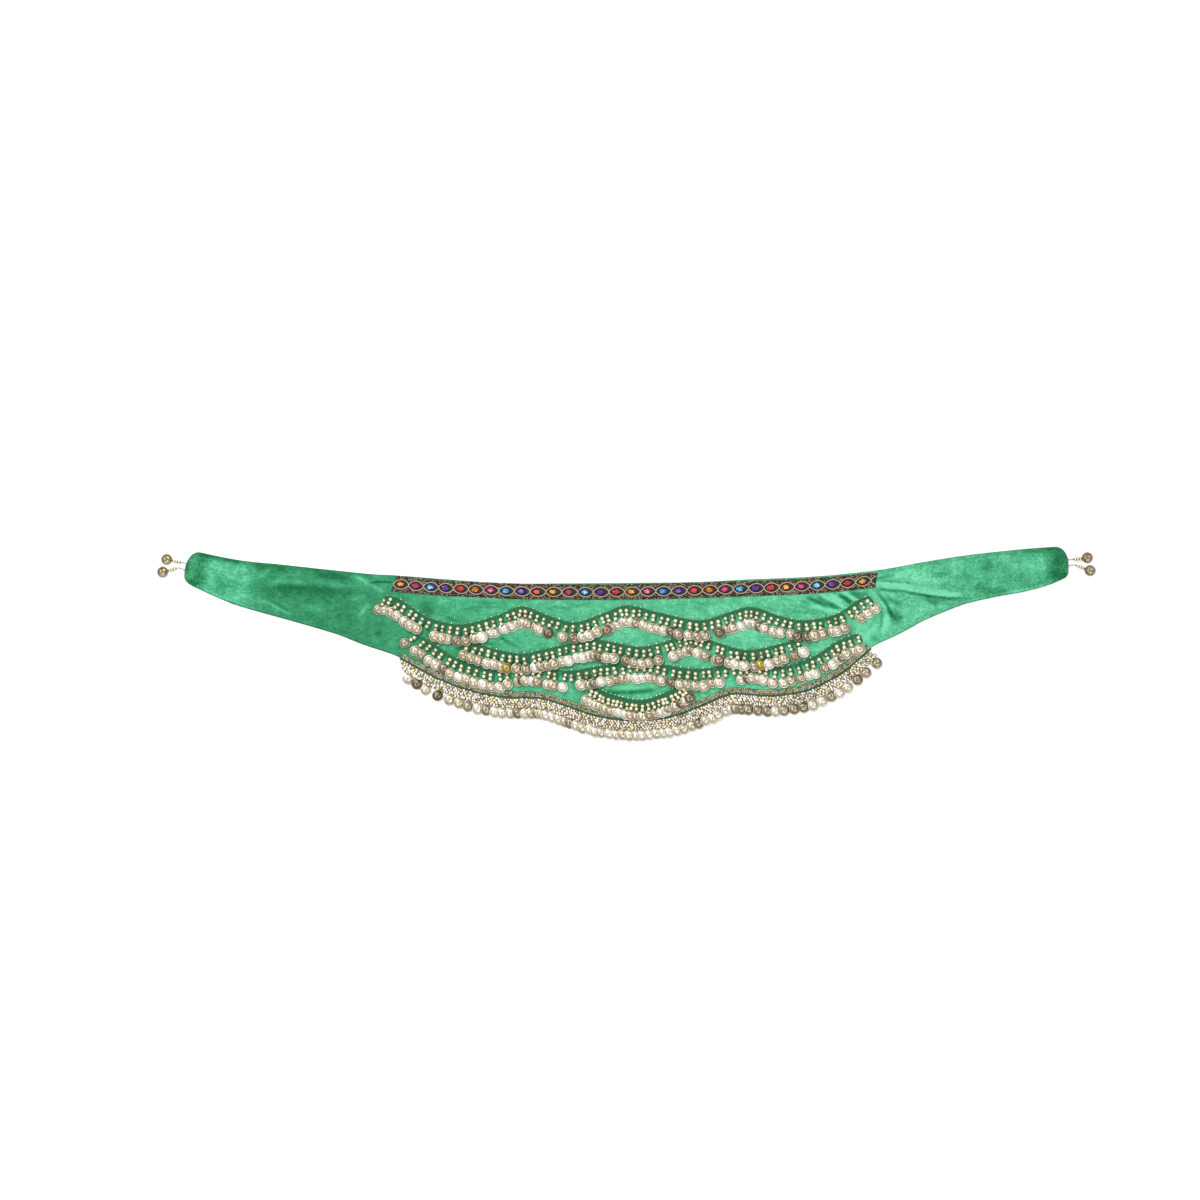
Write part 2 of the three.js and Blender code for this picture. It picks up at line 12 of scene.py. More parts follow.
import bpy
import numpy as np
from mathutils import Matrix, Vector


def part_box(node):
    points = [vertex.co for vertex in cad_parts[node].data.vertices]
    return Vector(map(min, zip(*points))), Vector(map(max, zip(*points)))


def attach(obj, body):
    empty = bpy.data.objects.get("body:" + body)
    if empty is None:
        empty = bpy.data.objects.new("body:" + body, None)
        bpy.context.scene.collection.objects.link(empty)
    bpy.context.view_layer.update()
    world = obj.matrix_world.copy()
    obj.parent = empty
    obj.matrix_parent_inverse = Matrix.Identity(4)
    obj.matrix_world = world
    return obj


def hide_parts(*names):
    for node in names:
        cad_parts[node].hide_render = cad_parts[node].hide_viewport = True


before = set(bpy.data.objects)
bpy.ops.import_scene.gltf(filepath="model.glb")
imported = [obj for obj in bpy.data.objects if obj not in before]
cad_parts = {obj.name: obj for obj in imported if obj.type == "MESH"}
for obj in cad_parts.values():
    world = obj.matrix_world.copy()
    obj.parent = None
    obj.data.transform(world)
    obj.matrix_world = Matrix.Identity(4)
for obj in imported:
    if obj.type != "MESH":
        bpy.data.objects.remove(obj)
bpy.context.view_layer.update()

MM = 0.001
chance = np.random.default_rng(14)

# %% [markdown]
# ## Shapes as whole arrays
#
# Everything on the scarf is one of three things: a grid of points whose sides are joined, a
# profile turned round an axis, or many copies of one small shape. So a `Shape` holds its points,
# its faces sorted by their number of corners, and a place on the surface for each corner. It is
# worked out with numpy, with no loop over points, and only then becomes a Blender mesh. Blender's
# own primitives could do the same, but hundreds of them would be slow and untidy.

# %% Helpers for vectors, lines and tables
UP = np.array([0.0, 0.0, 1.0])


def unit(vectors):
    """Vectors divided by their own lengths."""
    return vectors / np.linalg.norm(vectors, axis=-1, keepdims=True)


def rotated(vectors, angles):
    """Plane vectors turned by angles in radians."""
    c, s = np.cos(angles), np.sin(angles)
    return np.stack([vectors[:, 0] * c - vectors[:, 1] * s, vectors[:, 0] * s + vectors[:, 1] * c], 1)


def clamped(value):
    """The value held between 0 and 1."""
    return np.clip(value, 0, 1)


def distances_along(line):
    """How far each point of a line is from its start, measured along the line."""
    return np.concatenate([[0], np.cumsum(np.linalg.norm(np.diff(line, axis=0), axis=1))])


def rows_of(text, width=2):
    """A table of rows in millimetres, written as numbers in order."""
    return np.array(text.split(), float).reshape(-1, width)


def raised(spots, height):
    """Plane points at a height."""
    return np.column_stack([spots, height])


# %% The shape and how shapes join
class Shape:
    """Points, faces by their number of corners, corner places (u, v), and marks: a value a point."""

    def __init__(self, points, faces, places, marks=None):
        self.points = np.asarray(points, float).reshape(-1, 3)
        self.faces = faces
        self.places = places
        self.marks = marks or {}


def joined(shapes):
    """One shape of several: their points follow each other, and their faces count on."""
    starts = np.cumsum([0] + [len(shape.points) for shape in shapes])
    return Shape(
        np.concatenate([shape.points for shape in shapes]),
        [face + start for shape, start in zip(shapes, starts) for face in shape.faces],
        [place for shape in shapes for place in shape.places],
        {mark: np.concatenate([shape.marks[mark] for shape in shapes]) for mark in shapes[0].marks},
    )


def scatter(shape, spots, axes, marks=None):
    """Copies of a shape: each point is the copy's spot plus the point taken along its three axes."""
    count, size = len(spots), len(shape.points)
    axes = np.broadcast_to(axes, (count, 3, 3))
    points = spots[:, None] + np.einsum("nk,cki->cni", shape.points, axes)
    starts = np.arange(count)[:, None, None] * size
    return Shape(
        points,
        [(face[None] + starts).reshape(-1, face.shape[1]) for face in shape.faces],
        [np.tile(place, (count, 1, 1)) for place in shape.places],
        {name: np.repeat(value, size, axis=0) for name, value in (marks or {}).items()},
    )


# %% Grids of points: bands, tubes and turned shapes
def grid_faces(rows, columns, wrap_columns):
    """The quads of a grid of points, and the row and column of each of their corners."""
    i, j = np.meshgrid(np.arange(rows - 1), np.arange(columns - (not wrap_columns)), indexing="ij")
    i, j = i.ravel(), j.ravel()
    places = np.stack([np.stack([i, j], 1), np.stack([i + 1, j], 1),
                       np.stack([i + 1, j + 1], 1), np.stack([i, j + 1], 1)], 1)
    return places[..., 0] * columns + places[..., 1] % columns, places


def swept(grid, marks=None):
    """Closed bars from sections: grid[bar, step, corner] is a point, and the two ends are capped.

    The place of a corner is (millimetres along the bar, share of the way round the section).
    """
    bars, steps, corners = grid.shape[:3]
    quads, places = grid_faces(steps, corners, True)
    middle = grid.mean(axis=(0, 2))
    along = distances_along(middle)
    around = places[..., 1] / corners
    ring = np.arange(corners)
    caps = np.stack([ring, (steps - 1) * corners + ring[::-1]])
    starts = np.arange(bars)[:, None, None] * steps * corners
    return Shape(
        grid,
        [(quads[None] + starts).reshape(-1, 4), (caps[None] + starts).reshape(-1, corners)],
        [np.tile(np.stack([along[places[..., 0]], around], -1), (bars, 1, 1)),
         np.zeros((2 * bars, corners, 2))],
        marks,
    )


def tubes(paths, radius, sides, marks=None):
    """Round bars along paths[bar, step]: each section is a circle square to the path."""
    forward = unit(np.gradient(paths, axis=1))
    side = unit(np.cross(forward, UP))
    up = np.cross(side, forward)
    angle = np.arange(sides) * 2 * np.pi / sides
    round_section = (side[..., None, :] * np.cos(angle)[:, None] + up[..., None, :] * np.sin(angle)[:, None])
    radius = np.broadcast_to(radius, paths.shape[:2])[..., None, None]
    return swept(paths[:, :, None] + round_section * radius, marks)


def turned(profile, sides):
    """A profile of (radius, height) rows turned round the z axis; its first and last rows are poles."""
    profile = np.asarray(profile, float)
    angle = np.arange(sides) * 2 * np.pi / sides
    rings = np.stack(np.broadcast_arrays(profile[1:-1, :1] * np.cos(angle),
                                         profile[1:-1, :1] * np.sin(angle), profile[1:-1, 1:]), -1)
    poles = [[0, 0, profile[0, 1]], [0, 0, profile[-1, 1]]]
    points = np.concatenate([rings.reshape(-1, 3), poles])
    quads, _ = grid_faces(len(profile) - 2, sides, True)
    first, after = np.arange(sides), (np.arange(sides) + 1) % sides
    last = (len(profile) - 3) * sides
    low, high = np.full(sides, len(points) - 2), np.full(sides, len(points) - 1)
    fans = np.concatenate([np.stack([low, after, first], 1), np.stack([high, last + first, last + after], 1)])
    faces = [quads[:, ::-1], fans]
    return Shape(points, faces, [points[face][..., :2] for face in faces])


# %% From a shape to a piece that rides on the scarf
def in_scene(name, data):
    """An object of the data, linked to the scene."""
    thing = bpy.data.objects.new(name, data)
    bpy.context.scene.collection.objects.link(thing)
    return thing


def make_piece(name, shape, finish, replaces=(), smooth=True, facets=None):
    """The shape as a mesh in metres, with its finish and the nodes it stands for."""
    mesh = bpy.data.meshes.new(name)
    corners = np.concatenate([face.ravel() for face in shape.faces])
    sizes = np.concatenate([np.full(len(face), face.shape[1]) for face in shape.faces])
    mesh.vertices.add(len(shape.points))
    mesh.vertices.foreach_set("co", (shape.points * MM).ravel())
    mesh.loops.add(len(corners))
    mesh.loops.foreach_set("vertex_index", corners)
    mesh.polygons.add(len(sizes))
    mesh.polygons.foreach_set("loop_start", np.cumsum(sizes) - sizes)
    mesh.update(calc_edges=True)
    mesh.polygons.foreach_set("use_smooth", np.full(len(sizes), smooth))
    places = mesh.uv_layers.new(name="place")
    places.data.foreach_set("uv", np.concatenate([place.ravel() for place in shape.places]))
    for mark, value in shape.marks.items():
        kind, field = ("FLOAT_COLOR", "color") if value.ndim == 2 else ("FLOAT", "value")
        if value.ndim == 2:
            value = np.column_stack([value, np.ones(len(value))])
        mesh.attributes.new(mark, kind, "POINT").data.foreach_set(field, value.ravel())
    if facets is not None:
        mesh.attributes.new("facet", "FLOAT", "FACE").data.foreach_set("value", facets)
    mesh.materials.append(finish)
    piece = in_scene(name, mesh)
    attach(piece, "root")
    if replaces:
        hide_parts(*replaces)
    print(name, len(shape.points), "points", int((sizes - 2).sum()), "triangles")
    return piece


# %% [markdown]
# ## Finishes as sums
#
# A finish is a small program of nodes. Written node by node it is hard to read, so one class
# wraps an output socket and lets Python's own signs add Math nodes, and one method makes every
# other kind of node from its type, its settings and its inputs.

# %% A wire that can be added, multiplied and mixed
class Wire:
    """An output socket. The signs + - * / and ** on it add Math nodes."""

    def __init__(self, finish, socket):
        self.finish = finish
        self.socket = socket

    def out(self, name):
        """Another output of the same node."""
        return Wire(self.finish, self.socket.node.outputs[name])

    def __add__(self, other):
        return self.finish.math("ADD", self, other)

    def __sub__(self, other):
        return self.finish.math("SUBTRACT", self, other)

    def __rsub__(self, other):
        return self.finish.math("SUBTRACT", other, self)

    def __mul__(self, other):
        return self.finish.math("MULTIPLY", self, other)

    def __truediv__(self, other):
        return self.finish.math("DIVIDE", self, other)

    def __pow__(self, other):
        return self.finish.math("POWER", self, other)

    __radd__ = __add__
    __rmul__ = __mul__


class Finish:
    """A material being mixed."""

    def __init__(self, name):
        self.material = bpy.data.materials.new(name)
        self.material.use_nodes = True
        self.tree = self.material.node_tree
        self.tree.nodes.clear()

    def node(self, kind, settings=None, inputs=None, out=0):
        """Any node: its settings are set first, then its inputs are given a value or a wire."""
        node = self.tree.nodes.new(kind)
        for key, value in (settings or {}).items():
            if key == "stops":
                for _ in value[2:]:
                    node.color_ramp.elements.new(0.5)
                for element, (place, colour) in zip(node.color_ramp.elements, value):
                    element.position = place
                    element.color = (*dye(colour), 1)
            else:
                setattr(node, key, value)
        for key, value in (inputs or {}).items():
            if isinstance(value, Wire):
                self.tree.links.new(value.socket, node.inputs[key])
            elif isinstance(value, tuple) and len(node.inputs[key].default_value) == 4:
                node.inputs[key].default_value = (*value, 1)
            else:
                node.inputs[key].default_value = value
        return Wire(self, node.outputs[out]) if node.outputs else None

    def math(self, operation, a, b=0.0):
        return self.node("ShaderNodeMath", {"operation": operation}, {0: a, 1: b})

    def mark(self, name, out="Fac"):
        """A value that the mesh carries on its points."""
        return self.node("ShaderNodeAttribute", {"attribute_name": name}, out=out)

    def place(self):
        """The two coordinates of a point on its own surface."""
        where = self.node("ShaderNodeUVMap", {"uv_map": "place"})
        x = self.node("ShaderNodeSeparateXYZ", None, {"Vector": where})
        return x, x.out("Y")

    def noise(self, scale, detail, stretch=None):
        """Cloudy noise, 0 to 1, with scale in waves a metre; stretch squeezes it along x, y and z."""
        where = self.node("ShaderNodeTexCoord", out="Object")
        if stretch:
            where = self.node("ShaderNodeMapping", None, {"Vector": where, "Scale": stretch})
        return self.node("ShaderNodeTexNoise", None, {"Vector": where, "Scale": scale, "Detail": detail})

    def ramp(self, value, stops):
        """A colour for each value: stops are (value, colour code) rows."""
        return self.node("ShaderNodeValToRGB", {"stops": stops}, {"Fac": value})

    def mix(self, a, b, share, blend="MIX"):
        """Colour a turning to colour b as share goes from 0 to 1."""
        return self.node("ShaderNodeMix", {"data_type": "RGBA", "blend_type": blend},
                         {0: share, 6: a, 7: b}, out=2)

    def bump(self, height, depth):
        """A normal for a surface that is height, 0 to 1, times depth in millimetres proud."""
        return self.node("ShaderNodeBump", None, {"Height": height, "Distance": depth * MM, "Strength": 1.0})

    def done(self, inputs):
        """Joins the surface to the output and gives back the material."""
        surface = self.node("ShaderNodeBsdfPrincipled", None, inputs)
        self.node("ShaderNodeOutputMaterial", None, {"Surface": surface})
        return self.material


def dye(code):
    """A colour written as six hexadecimal digits, as the linear values that nodes take."""
    value = np.array([int(code[i:i + 2], 16) for i in (0, 2, 4)]) / 255
    return tuple(float(v) for v in np.where(value > 0.04045, ((value + 0.055) / 1.055) ** 2.4, value / 12.92))


# %% [markdown]
# ## Light, floor and camera
#
# The scarf lies on a plain white table and is seen from straight above. A white world gives the
# even, almost shadowless light of a product table, and two large soft lights, one stronger, give
# the coins and stones something to reflect. One lamp alone would throw hard shadows, and a white
# world alone would leave the metal flat.

# %% The camera
CAMERA_HEIGHT, SENSOR_WIDTH, LENS = 6.0, 36.0, 116.3
camera = in_scene("camera", bpy.data.cameras.new("camera"))
camera.location = (-0.0407, 0.068, CAMERA_HEIGHT)
camera.data.sensor_width = SENSOR_WIDTH
camera.data.lens = LENS
bpy.context.scene.camera = camera
bpy.context.scene.view_settings.view_transform = "Standard"
print("the view is", round(CAMERA_HEIGHT * SENSOR_WIDTH / LENS, 3), "m wide at the table")

# %% The white world, the soft lights and the table
world = bpy.data.worlds.new("studio")
world.use_nodes = True
background = world.node_tree.nodes["Background"]
background.inputs["Color"].default_value = (1.0, 1.0, 1.0, 1.0)
background.inputs["Strength"].default_value = 0.62
bpy.context.scene.world = world


def soft_light(name, place, size, power):
    """A square sheet of light at a place, turned to face the middle of the scarf."""
    data = bpy.data.lights.new(name, "AREA")
    data.size = size
    data.energy = power
    light = in_scene(name, data)
    light.location = place
    aim = -np.array(place)
    light.rotation_euler = (float(np.arctan2(np.hypot(aim[0], aim[1]), -aim[2])), 0.0,
                            float(np.arctan2(aim[0], -aim[1]) + np.pi))


soft_light("key", (-1.1, 1.5, 2.4), 1.3, 62.0)
soft_light("fill", (1.6, -0.9, 2.6), 1.6, 26.0)

table = Finish("table_white")
table_grain = table.noise(40.0, 3.0)
TABLE_REACH, TABLE_HEIGHT = 6, -0.0004
table_corners = [(x, y, TABLE_HEIGHT) for x, y in TABLE_REACH * np.array([(-1, -1), (1, -1), (1, 1), (-1, 1)])]
floor_mesh = bpy.data.meshes.new("table_top")
floor_mesh.from_pydata(table_corners, [], [(0, 1, 2, 3)])
floor_mesh.materials.append(table.done({
    "Base Color": table.ramp(table_grain, [(0.0, "fbfbfb"), (1.0, "ffffff")]),
    "Roughness": 0.7,
}))
floor = in_scene("table_top", floor_mesh)

# %% [markdown]
# ## The danglers' threads
#
# Two strands leave each tail end. Each is a fine limp thread that starts at a stitch in the hem,
# bends once, runs through three beads and ends in a coin. They are the only free cords, so they
# are settled first: their stitch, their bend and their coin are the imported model's own points, and
# the route is one smooth line through them. A simulated cord would lie the same way, because
# strands of three centimetres that rest on a table hardly move.

# %% Thread and bead finishes
def thread_finish(name, dark, light, deep=None):
    """Twisted thread: slanting stripes of two tones that stand up as plies.

    With two darker tones given, the mark named like that argument turns the first two tones to them, as painted
    shade.
    """
    finish = Finish(name)
    x, y = finish.place()
    twist = finish.math("SINE", (x * 0.55 + y) * (2 * np.pi))
    ply = twist * 0.5 + 0.5
    fuzz = finish.noise(900.0, 3.0)
    worn = ply * 0.7 + fuzz * 0.3
    colour = finish.ramp(worn, [(0.1, dark), (0.9, light)])
    if deep:
        painted_shade_colour = finish.ramp(worn, [(0.1, deep[0]), (0.9, deep[1])])
        colour = finish.mix(colour, painted_shade_colour, finish.mark("deep"))
    return finish.done({
        "Base Color": colour,
        "Roughness": 0.82,
        "Normal": finish.bump(ply + fuzz * 0.4, 0.25),
        "Sheen Weight": 0.2,
    })


def bead_finish(name, dark, light, metal, roughness):
    """Small cast beads: each copy's own tone, worn pits, and painted shade that darkens the sides.

    With r the distance from the bead's axis as a share of its radius, the painted shade is r^4.
    """
    finish = Finish(name)
    pits = finish.noise(700.0, 3.0)
    x, y = finish.place()
    r2 = x * x + y * y
    # painted shade: r^4 paints each bead darker towards its sides
    tone = finish.mark("tone") + (pits - 0.5) * 0.5 - r2 * r2 * 0.75 + 0.18
    return finish.done({
        "Base Color": finish.ramp(tone, [(0.0, dark), (1.0, light)]),
        "Metallic": metal,
        "Roughness": roughness + pits * 0.18,
        "Normal": finish.bump(pits, 0.12),
        "Coat Weight": 0.25,
        "Coat Roughness": 0.12,
    })


# the third pair is the painted shade tones for the drop threads
green_thread = thread_finish("green_thread", "0c5a35", "30a56b", ("03341b", "168450"))
dark_thread = thread_finish("dark_thread", "2c3b34", "6f8078")
gold_bead = bead_finish("gold_bead", "5e431a", "fff2c9", 0.4, 0.18)
dark_bead = bead_finish("dark_bead", "2a1a10", "5c452c", 0.2, 0.3)

# %% The coin's finish
def coin_finish():
    """Thin stamped coins: a raised rim, a ring of dots, a swirl of three arms, a boss, old dirt, and a painted
    highlight that turns the copies of highest tone almost white.

    With r and a the polar place on the coin, the relief is a rim near r = 0.9, dots where
    sin(20 a) peaks near r = 0.72, and arms where cos(3 a + 7 r) peaks inside r = 0.62.
    """
    finish = Finish("coin_metal")
    x, y = finish.place()
    r = (x * x + y * y) ** 0.5
    a = finish.math("ARCTAN2", y, x) + finish.mark("spin")

    def band(middle, width):
        return finish.math("MAXIMUM", 1 - finish.math("ABSOLUTE", r - middle) / width, 0.0)

    dots = band(0.72, 0.09) * (finish.math("SINE", a * 20.0) * 0.5 + 0.5)
    arms = band(0.38, 0.28) * (finish.math("COSINE", a * 3.0 + r * 7.0) * 0.5 + 0.5)
    scratches = finish.noise(430.0, 3.0)
    relief = band(0.91, 0.1) * 1.1 + dots * 0.5 + arms * 1.3 + band(0.0, 0.13) * 0.7
    hollows = band(0.77, 0.09) * 0.45 + band(0.16, 0.08) * 0.25
    tone = finish.mark("tone")
    # tone is each coin's own dullness, and its top end is a painted highlight that lifts the coin towards white
    light = relief * 0.62 + (scratches - 0.5) * 0.9 + (tone - 0.6) * 0.4 + 0.27 - hollows
    metal = finish.ramp(light, [
        (0.0, "5a5144"), (0.25, "a89e8a"), (0.55, "ddd3bd"), (0.9, "fffbf0")])
    toned = finish.mix(metal, finish.ramp(tone, [
        (0.0, "a39b8b"), (0.4, "cbc4b4"), (0.7, "faf4e8"), (1.0, "ffffff")]), 1.0, "MULTIPLY")
    gilt = finish.mix(toned, dye("cdbd62"), finish.mark("gilt"), "MULTIPLY")
    return finish.done({
        "Base Color": gilt,
        "Metallic": 0.4,
        "Roughness": 0.2 + scratches * 0.2,
        "Normal": finish.bump(relief + scratches * 0.3, 0.3),
    })


coin_metal = coin_finish()

# %% The shapes of beads and coins
angles = np.radians([-90, -54, -18, 18, 54, 90])
ball = turned(np.column_stack([np.cos(angles), np.sin(angles)]), 10)
seed = turned([(0, -0.8), (0.62, -0.75), (1, 0), (0.62, 0.75), (0, 0.8)], 8)
coin = turned([(0, 0), (1, 0), (1, 0.75), (0.86, 1), (0, 0.8)], 18)
print("bead", sum(len(f) for f in ball.faces), "faces, coin", sum(len(f) for f in coin.faces), "faces")

# %% The strands
# stitch in the hem, turn into the beads, middle of the coin
DANGLERS = {
    "left_upper": [(-674.8, 123.4), (-690.4, 126.8), (-711.3, 130.8)],
    "left_lower": [(-677.2, 111.2), (-696.8, 117.2), (-717.4, 111.4)],
    "right_upper": [(676.6, 132.8), (692.7, 130.8), (713.4, 133.4)],
    "right_lower": [(677.4, 118.4), (696.7, 121.2), (717.6, 113.6)],
}
THREAD_RADIUS, THREAD_HEIGHT = 0.5, 2.8
TURN_REACH, COIN_OVERLAP, SEAM_GAP = 8, 3.2, 0.3
COIN_RADIUS, COIN_THICKNESS = 8.6, 1.2
BEADS_LENGTH, BEAD_RADIUS, BEAD_HALF_LENGTH = 11.7, 2.75, 1.75
GOLD_STEPS = np.array([[2.0], [5.9], [9.8]])
SPACER_STEPS = np.array([[-0.3], [3.95], [7.85], [11.9]])
SPACER_SIZE, KNOT_SIZE = np.array([[1.7], [1.7], [0.8]]), np.array([[1.1], [0.85], [1.3]])


def bezier(points, steps):
    """A smooth line that leaves its first point towards its second and ends at its last."""
    t = np.linspace(0, 1, steps)[:, None]
    while len(points) > 1:
        points = [a + (b - a) * t for a, b in zip(points[:-1], points[1:])]
    return points[0]


def strand_path(stitch, turn, coin_middle):
    """From the stitch in a bend to the turn, straight through the beads, and down over the coin."""
    stitch, turn, coin_middle = (np.array([*p, THREAD_HEIGHT]) for p in (stitch, turn, coin_middle))
    gap = coin_middle - turn
    reach = np.linalg.norm(gap)
    away = gap / reach
    edge = reach - COIN_RADIUS
    fall = np.array([0, 0, COIN_THICKNESS + SEAM_GAP + THREAD_RADIUS - THREAD_HEIGHT])
    first = bezier([stitch, turn - away * TURN_REACH, turn], 12)
    last = bezier([turn + away * BEADS_LENGTH, turn + away * edge,
                   turn + away * (edge + COIN_OVERLAP / 2) + fall, turn + away * (edge + COIN_OVERLAP) + fall], 10)
    return np.concatenate([first, last]), turn, away


def facing(forward):
    """Axes with z along forward and x level, for shapes that are turned round z."""
    forward = np.atleast_2d(forward)
    side = unit(np.cross(UP, forward))
    return np.stack([side, np.cross(forward, side), forward], axis=1)


disc = turned([(0, 0), (0.97, 0), (1, 0.25), (1, 0.8), (0.97, 1), (0.87, 1), (0.83, 0.78),
               (0.45, 0.8), (0, 0.86)], 40)
disc_axes = np.diag([COIN_RADIUS, COIN_RADIUS, COIN_THICKNESS])
disc_marks = {"tone": np.array([0.42]), "spin": np.array([0.3]), "gilt": np.array([0.25])}
for name, (stitch, turn_at, coin_at) in DANGLERS.items():
    node = f"dangler_{name}"
    path, turn, away = strand_path(stitch, turn_at, coin_at)
    strand = make_piece(f"{node}_strand", tubes(path[None], THREAD_RADIUS, 10), dark_thread,
                        [f"{node}_thread"])
    across = np.array([-away[1], away[0], 0.0])
    upright = np.stack([away * BEAD_HALF_LENGTH, across * BEAD_RADIUS, UP * BEAD_RADIUS])
    gold = scatter(ball, turn + away * GOLD_STEPS, upright, {"tone": chance.uniform(0.5, 1.0, 3)})
    spacers = scatter(seed, turn + away * SPACER_STEPS, facing(away) * SPACER_SIZE,
                      {"tone": chance.uniform(0.1, 0.6, 4)})
    coin_piece = make_piece(f"{node}_disc", scatter(disc, np.array([[*coin_at, 0.0]]), disc_axes, disc_marks),
                            coin_metal, [f"{node}_coin"])
    knot = make_piece(f"{node}_knot", scatter(ball, (path[-1] - away * 0.2)[None], facing(away) * KNOT_SIZE,
                                              {"tone": np.array([0.4])}), dark_thread)
    gold_piece = make_piece(f"{node}_gold", gold, gold_bead, [f"{node}_beads"])
    spacer_piece = make_piece(f"{node}_spacers", spacers, dark_bead)
    tuple(path[0] * MM)
    (path * MM).tolist()

# %% [markdown]
# ## The outline of the velvet
#
# A maker cuts the velvet to one curved outline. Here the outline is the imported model's: a top edge
# and a lower edge, each a smooth line through a few points, with rounded corners at the tail ends.

# %% Lines through rows of points
TOP_EDGE = rows_of("""-684 147.5 -628 135 -587 128 -545 124 -462 115 -393 108 -355 106 -278 100 -188 93.7
    -102 93.7 21 94.7 110 95.8 190 100 259 102.5 324 107 398 115.5 462 127 526 137 618 147 684 151.5""")
LOWER_EDGE = rows_of("""-684 95.5 -669 88.5 -640 75 -603 60 -512 34 -448 15 -407 -1 -357 -18 -330 -32
    -291 -53 -242 -71 -212 -78 -183 -82 -132 -83.5 -88 -96.5 -55 -108 -20 -115 13 -117 45 -115
    80 -108.5 120 -93 154 -78.5 174 -76 219 -79.5 264 -75 298 -64 338 -41 368 -15.5 381 -4 423 16
    462 37 500 53 526 62.5 577 74 616 81 654 91.5 684 104.5""")
HALF_LENGTH = 684.0


def height_on(rows, x):
    """y at x on a smooth line: between two rows a cubic that keeps the slope of their neighbours."""
    xs, ys = rows.T
    slopes = np.empty(len(xs))
    slopes[1:-1] = (ys[2:] - ys[:-2]) / (xs[2:] - xs[:-2])
    slopes[[0, -1]] = (ys[1] - ys[0]) / (xs[1] - xs[0]), (ys[-1] - ys[-2]) / (xs[-1] - xs[-2])
    i = np.clip(np.searchsorted(xs, x) - 1, 0, len(xs) - 2)
    span = xs[i + 1] - xs[i]
    t = (x - xs[i]) / span
    return (ys[i] * (1 + 2 * t) * (1 - t) ** 2 + ys[i + 1] * t * t * (3 - 2 * t)
            + span * (slopes[i] * t * (1 - t) ** 2 + slopes[i + 1] * t * t * (t - 1)))


def corner_pull(distance, reach, pull):
    """How far a rounded corner draws the edge in: a quarter of an ellipse."""
    t = 1 - clamped(distance / reach)
    return pull * (1 - np.sqrt(1 - t * t))


def panel_top(x):
    return height_on(TOP_EDGE, x) - corner_pull(x + HALF_LENGTH, 26, 42.5) - corner_pull(HALF_LENGTH - x, 20, 28)


def panel_bottom(x):
    return height_on(LOWER_EDGE, x) + corner_pull(x + HALF_LENGTH, 14, 7.5) + corner_pull(HALF_LENGTH - x, 6, 7)


# %% [markdown]
# ## Folds and the lie of the pile
#
# Velvet shows a fold twice: the cloth rises or sinks, and the pile turns its light or dark side.
# Here that light and dark side is painted into the colour, as painted light and shade.
# A cloth simulation would invent folds of its own, so each is placed one by one: a line, its half
# width, its height and how much lighter or darker the pile turns. Broad patches only turn the pile.

# %% Distance to a line of straight pieces
def distance_to(points, line):
    """The shortest distance from each point to the line, and how far along the line that is."""
    start, step = line[:-1], np.diff(line, axis=0)
    away = points[:, None] - start
    share = clamped((away * step).sum(-1) / (step ** 2).sum(-1))
    gap = np.linalg.norm(away - share[..., None] * step, axis=-1)
    nearest = gap.argmin(1)
    row = np.arange(len(points))
    return gap[row, nearest], (nearest + share[row, nearest]) / len(step)


# %% The folds, left tail first
# x, y at one end, x, y at the other, half width, height
FOLDS = rows_of("""
    -520 96 -386 86 15 3.2
    -462 58 -408 64 12 2.2
    -470 34 -398 22 14 2.6
    398 98 520 88 11 3.6
    400 82 516 66 10 3.4
    408 76 420 34 11 3.8
""", 6)
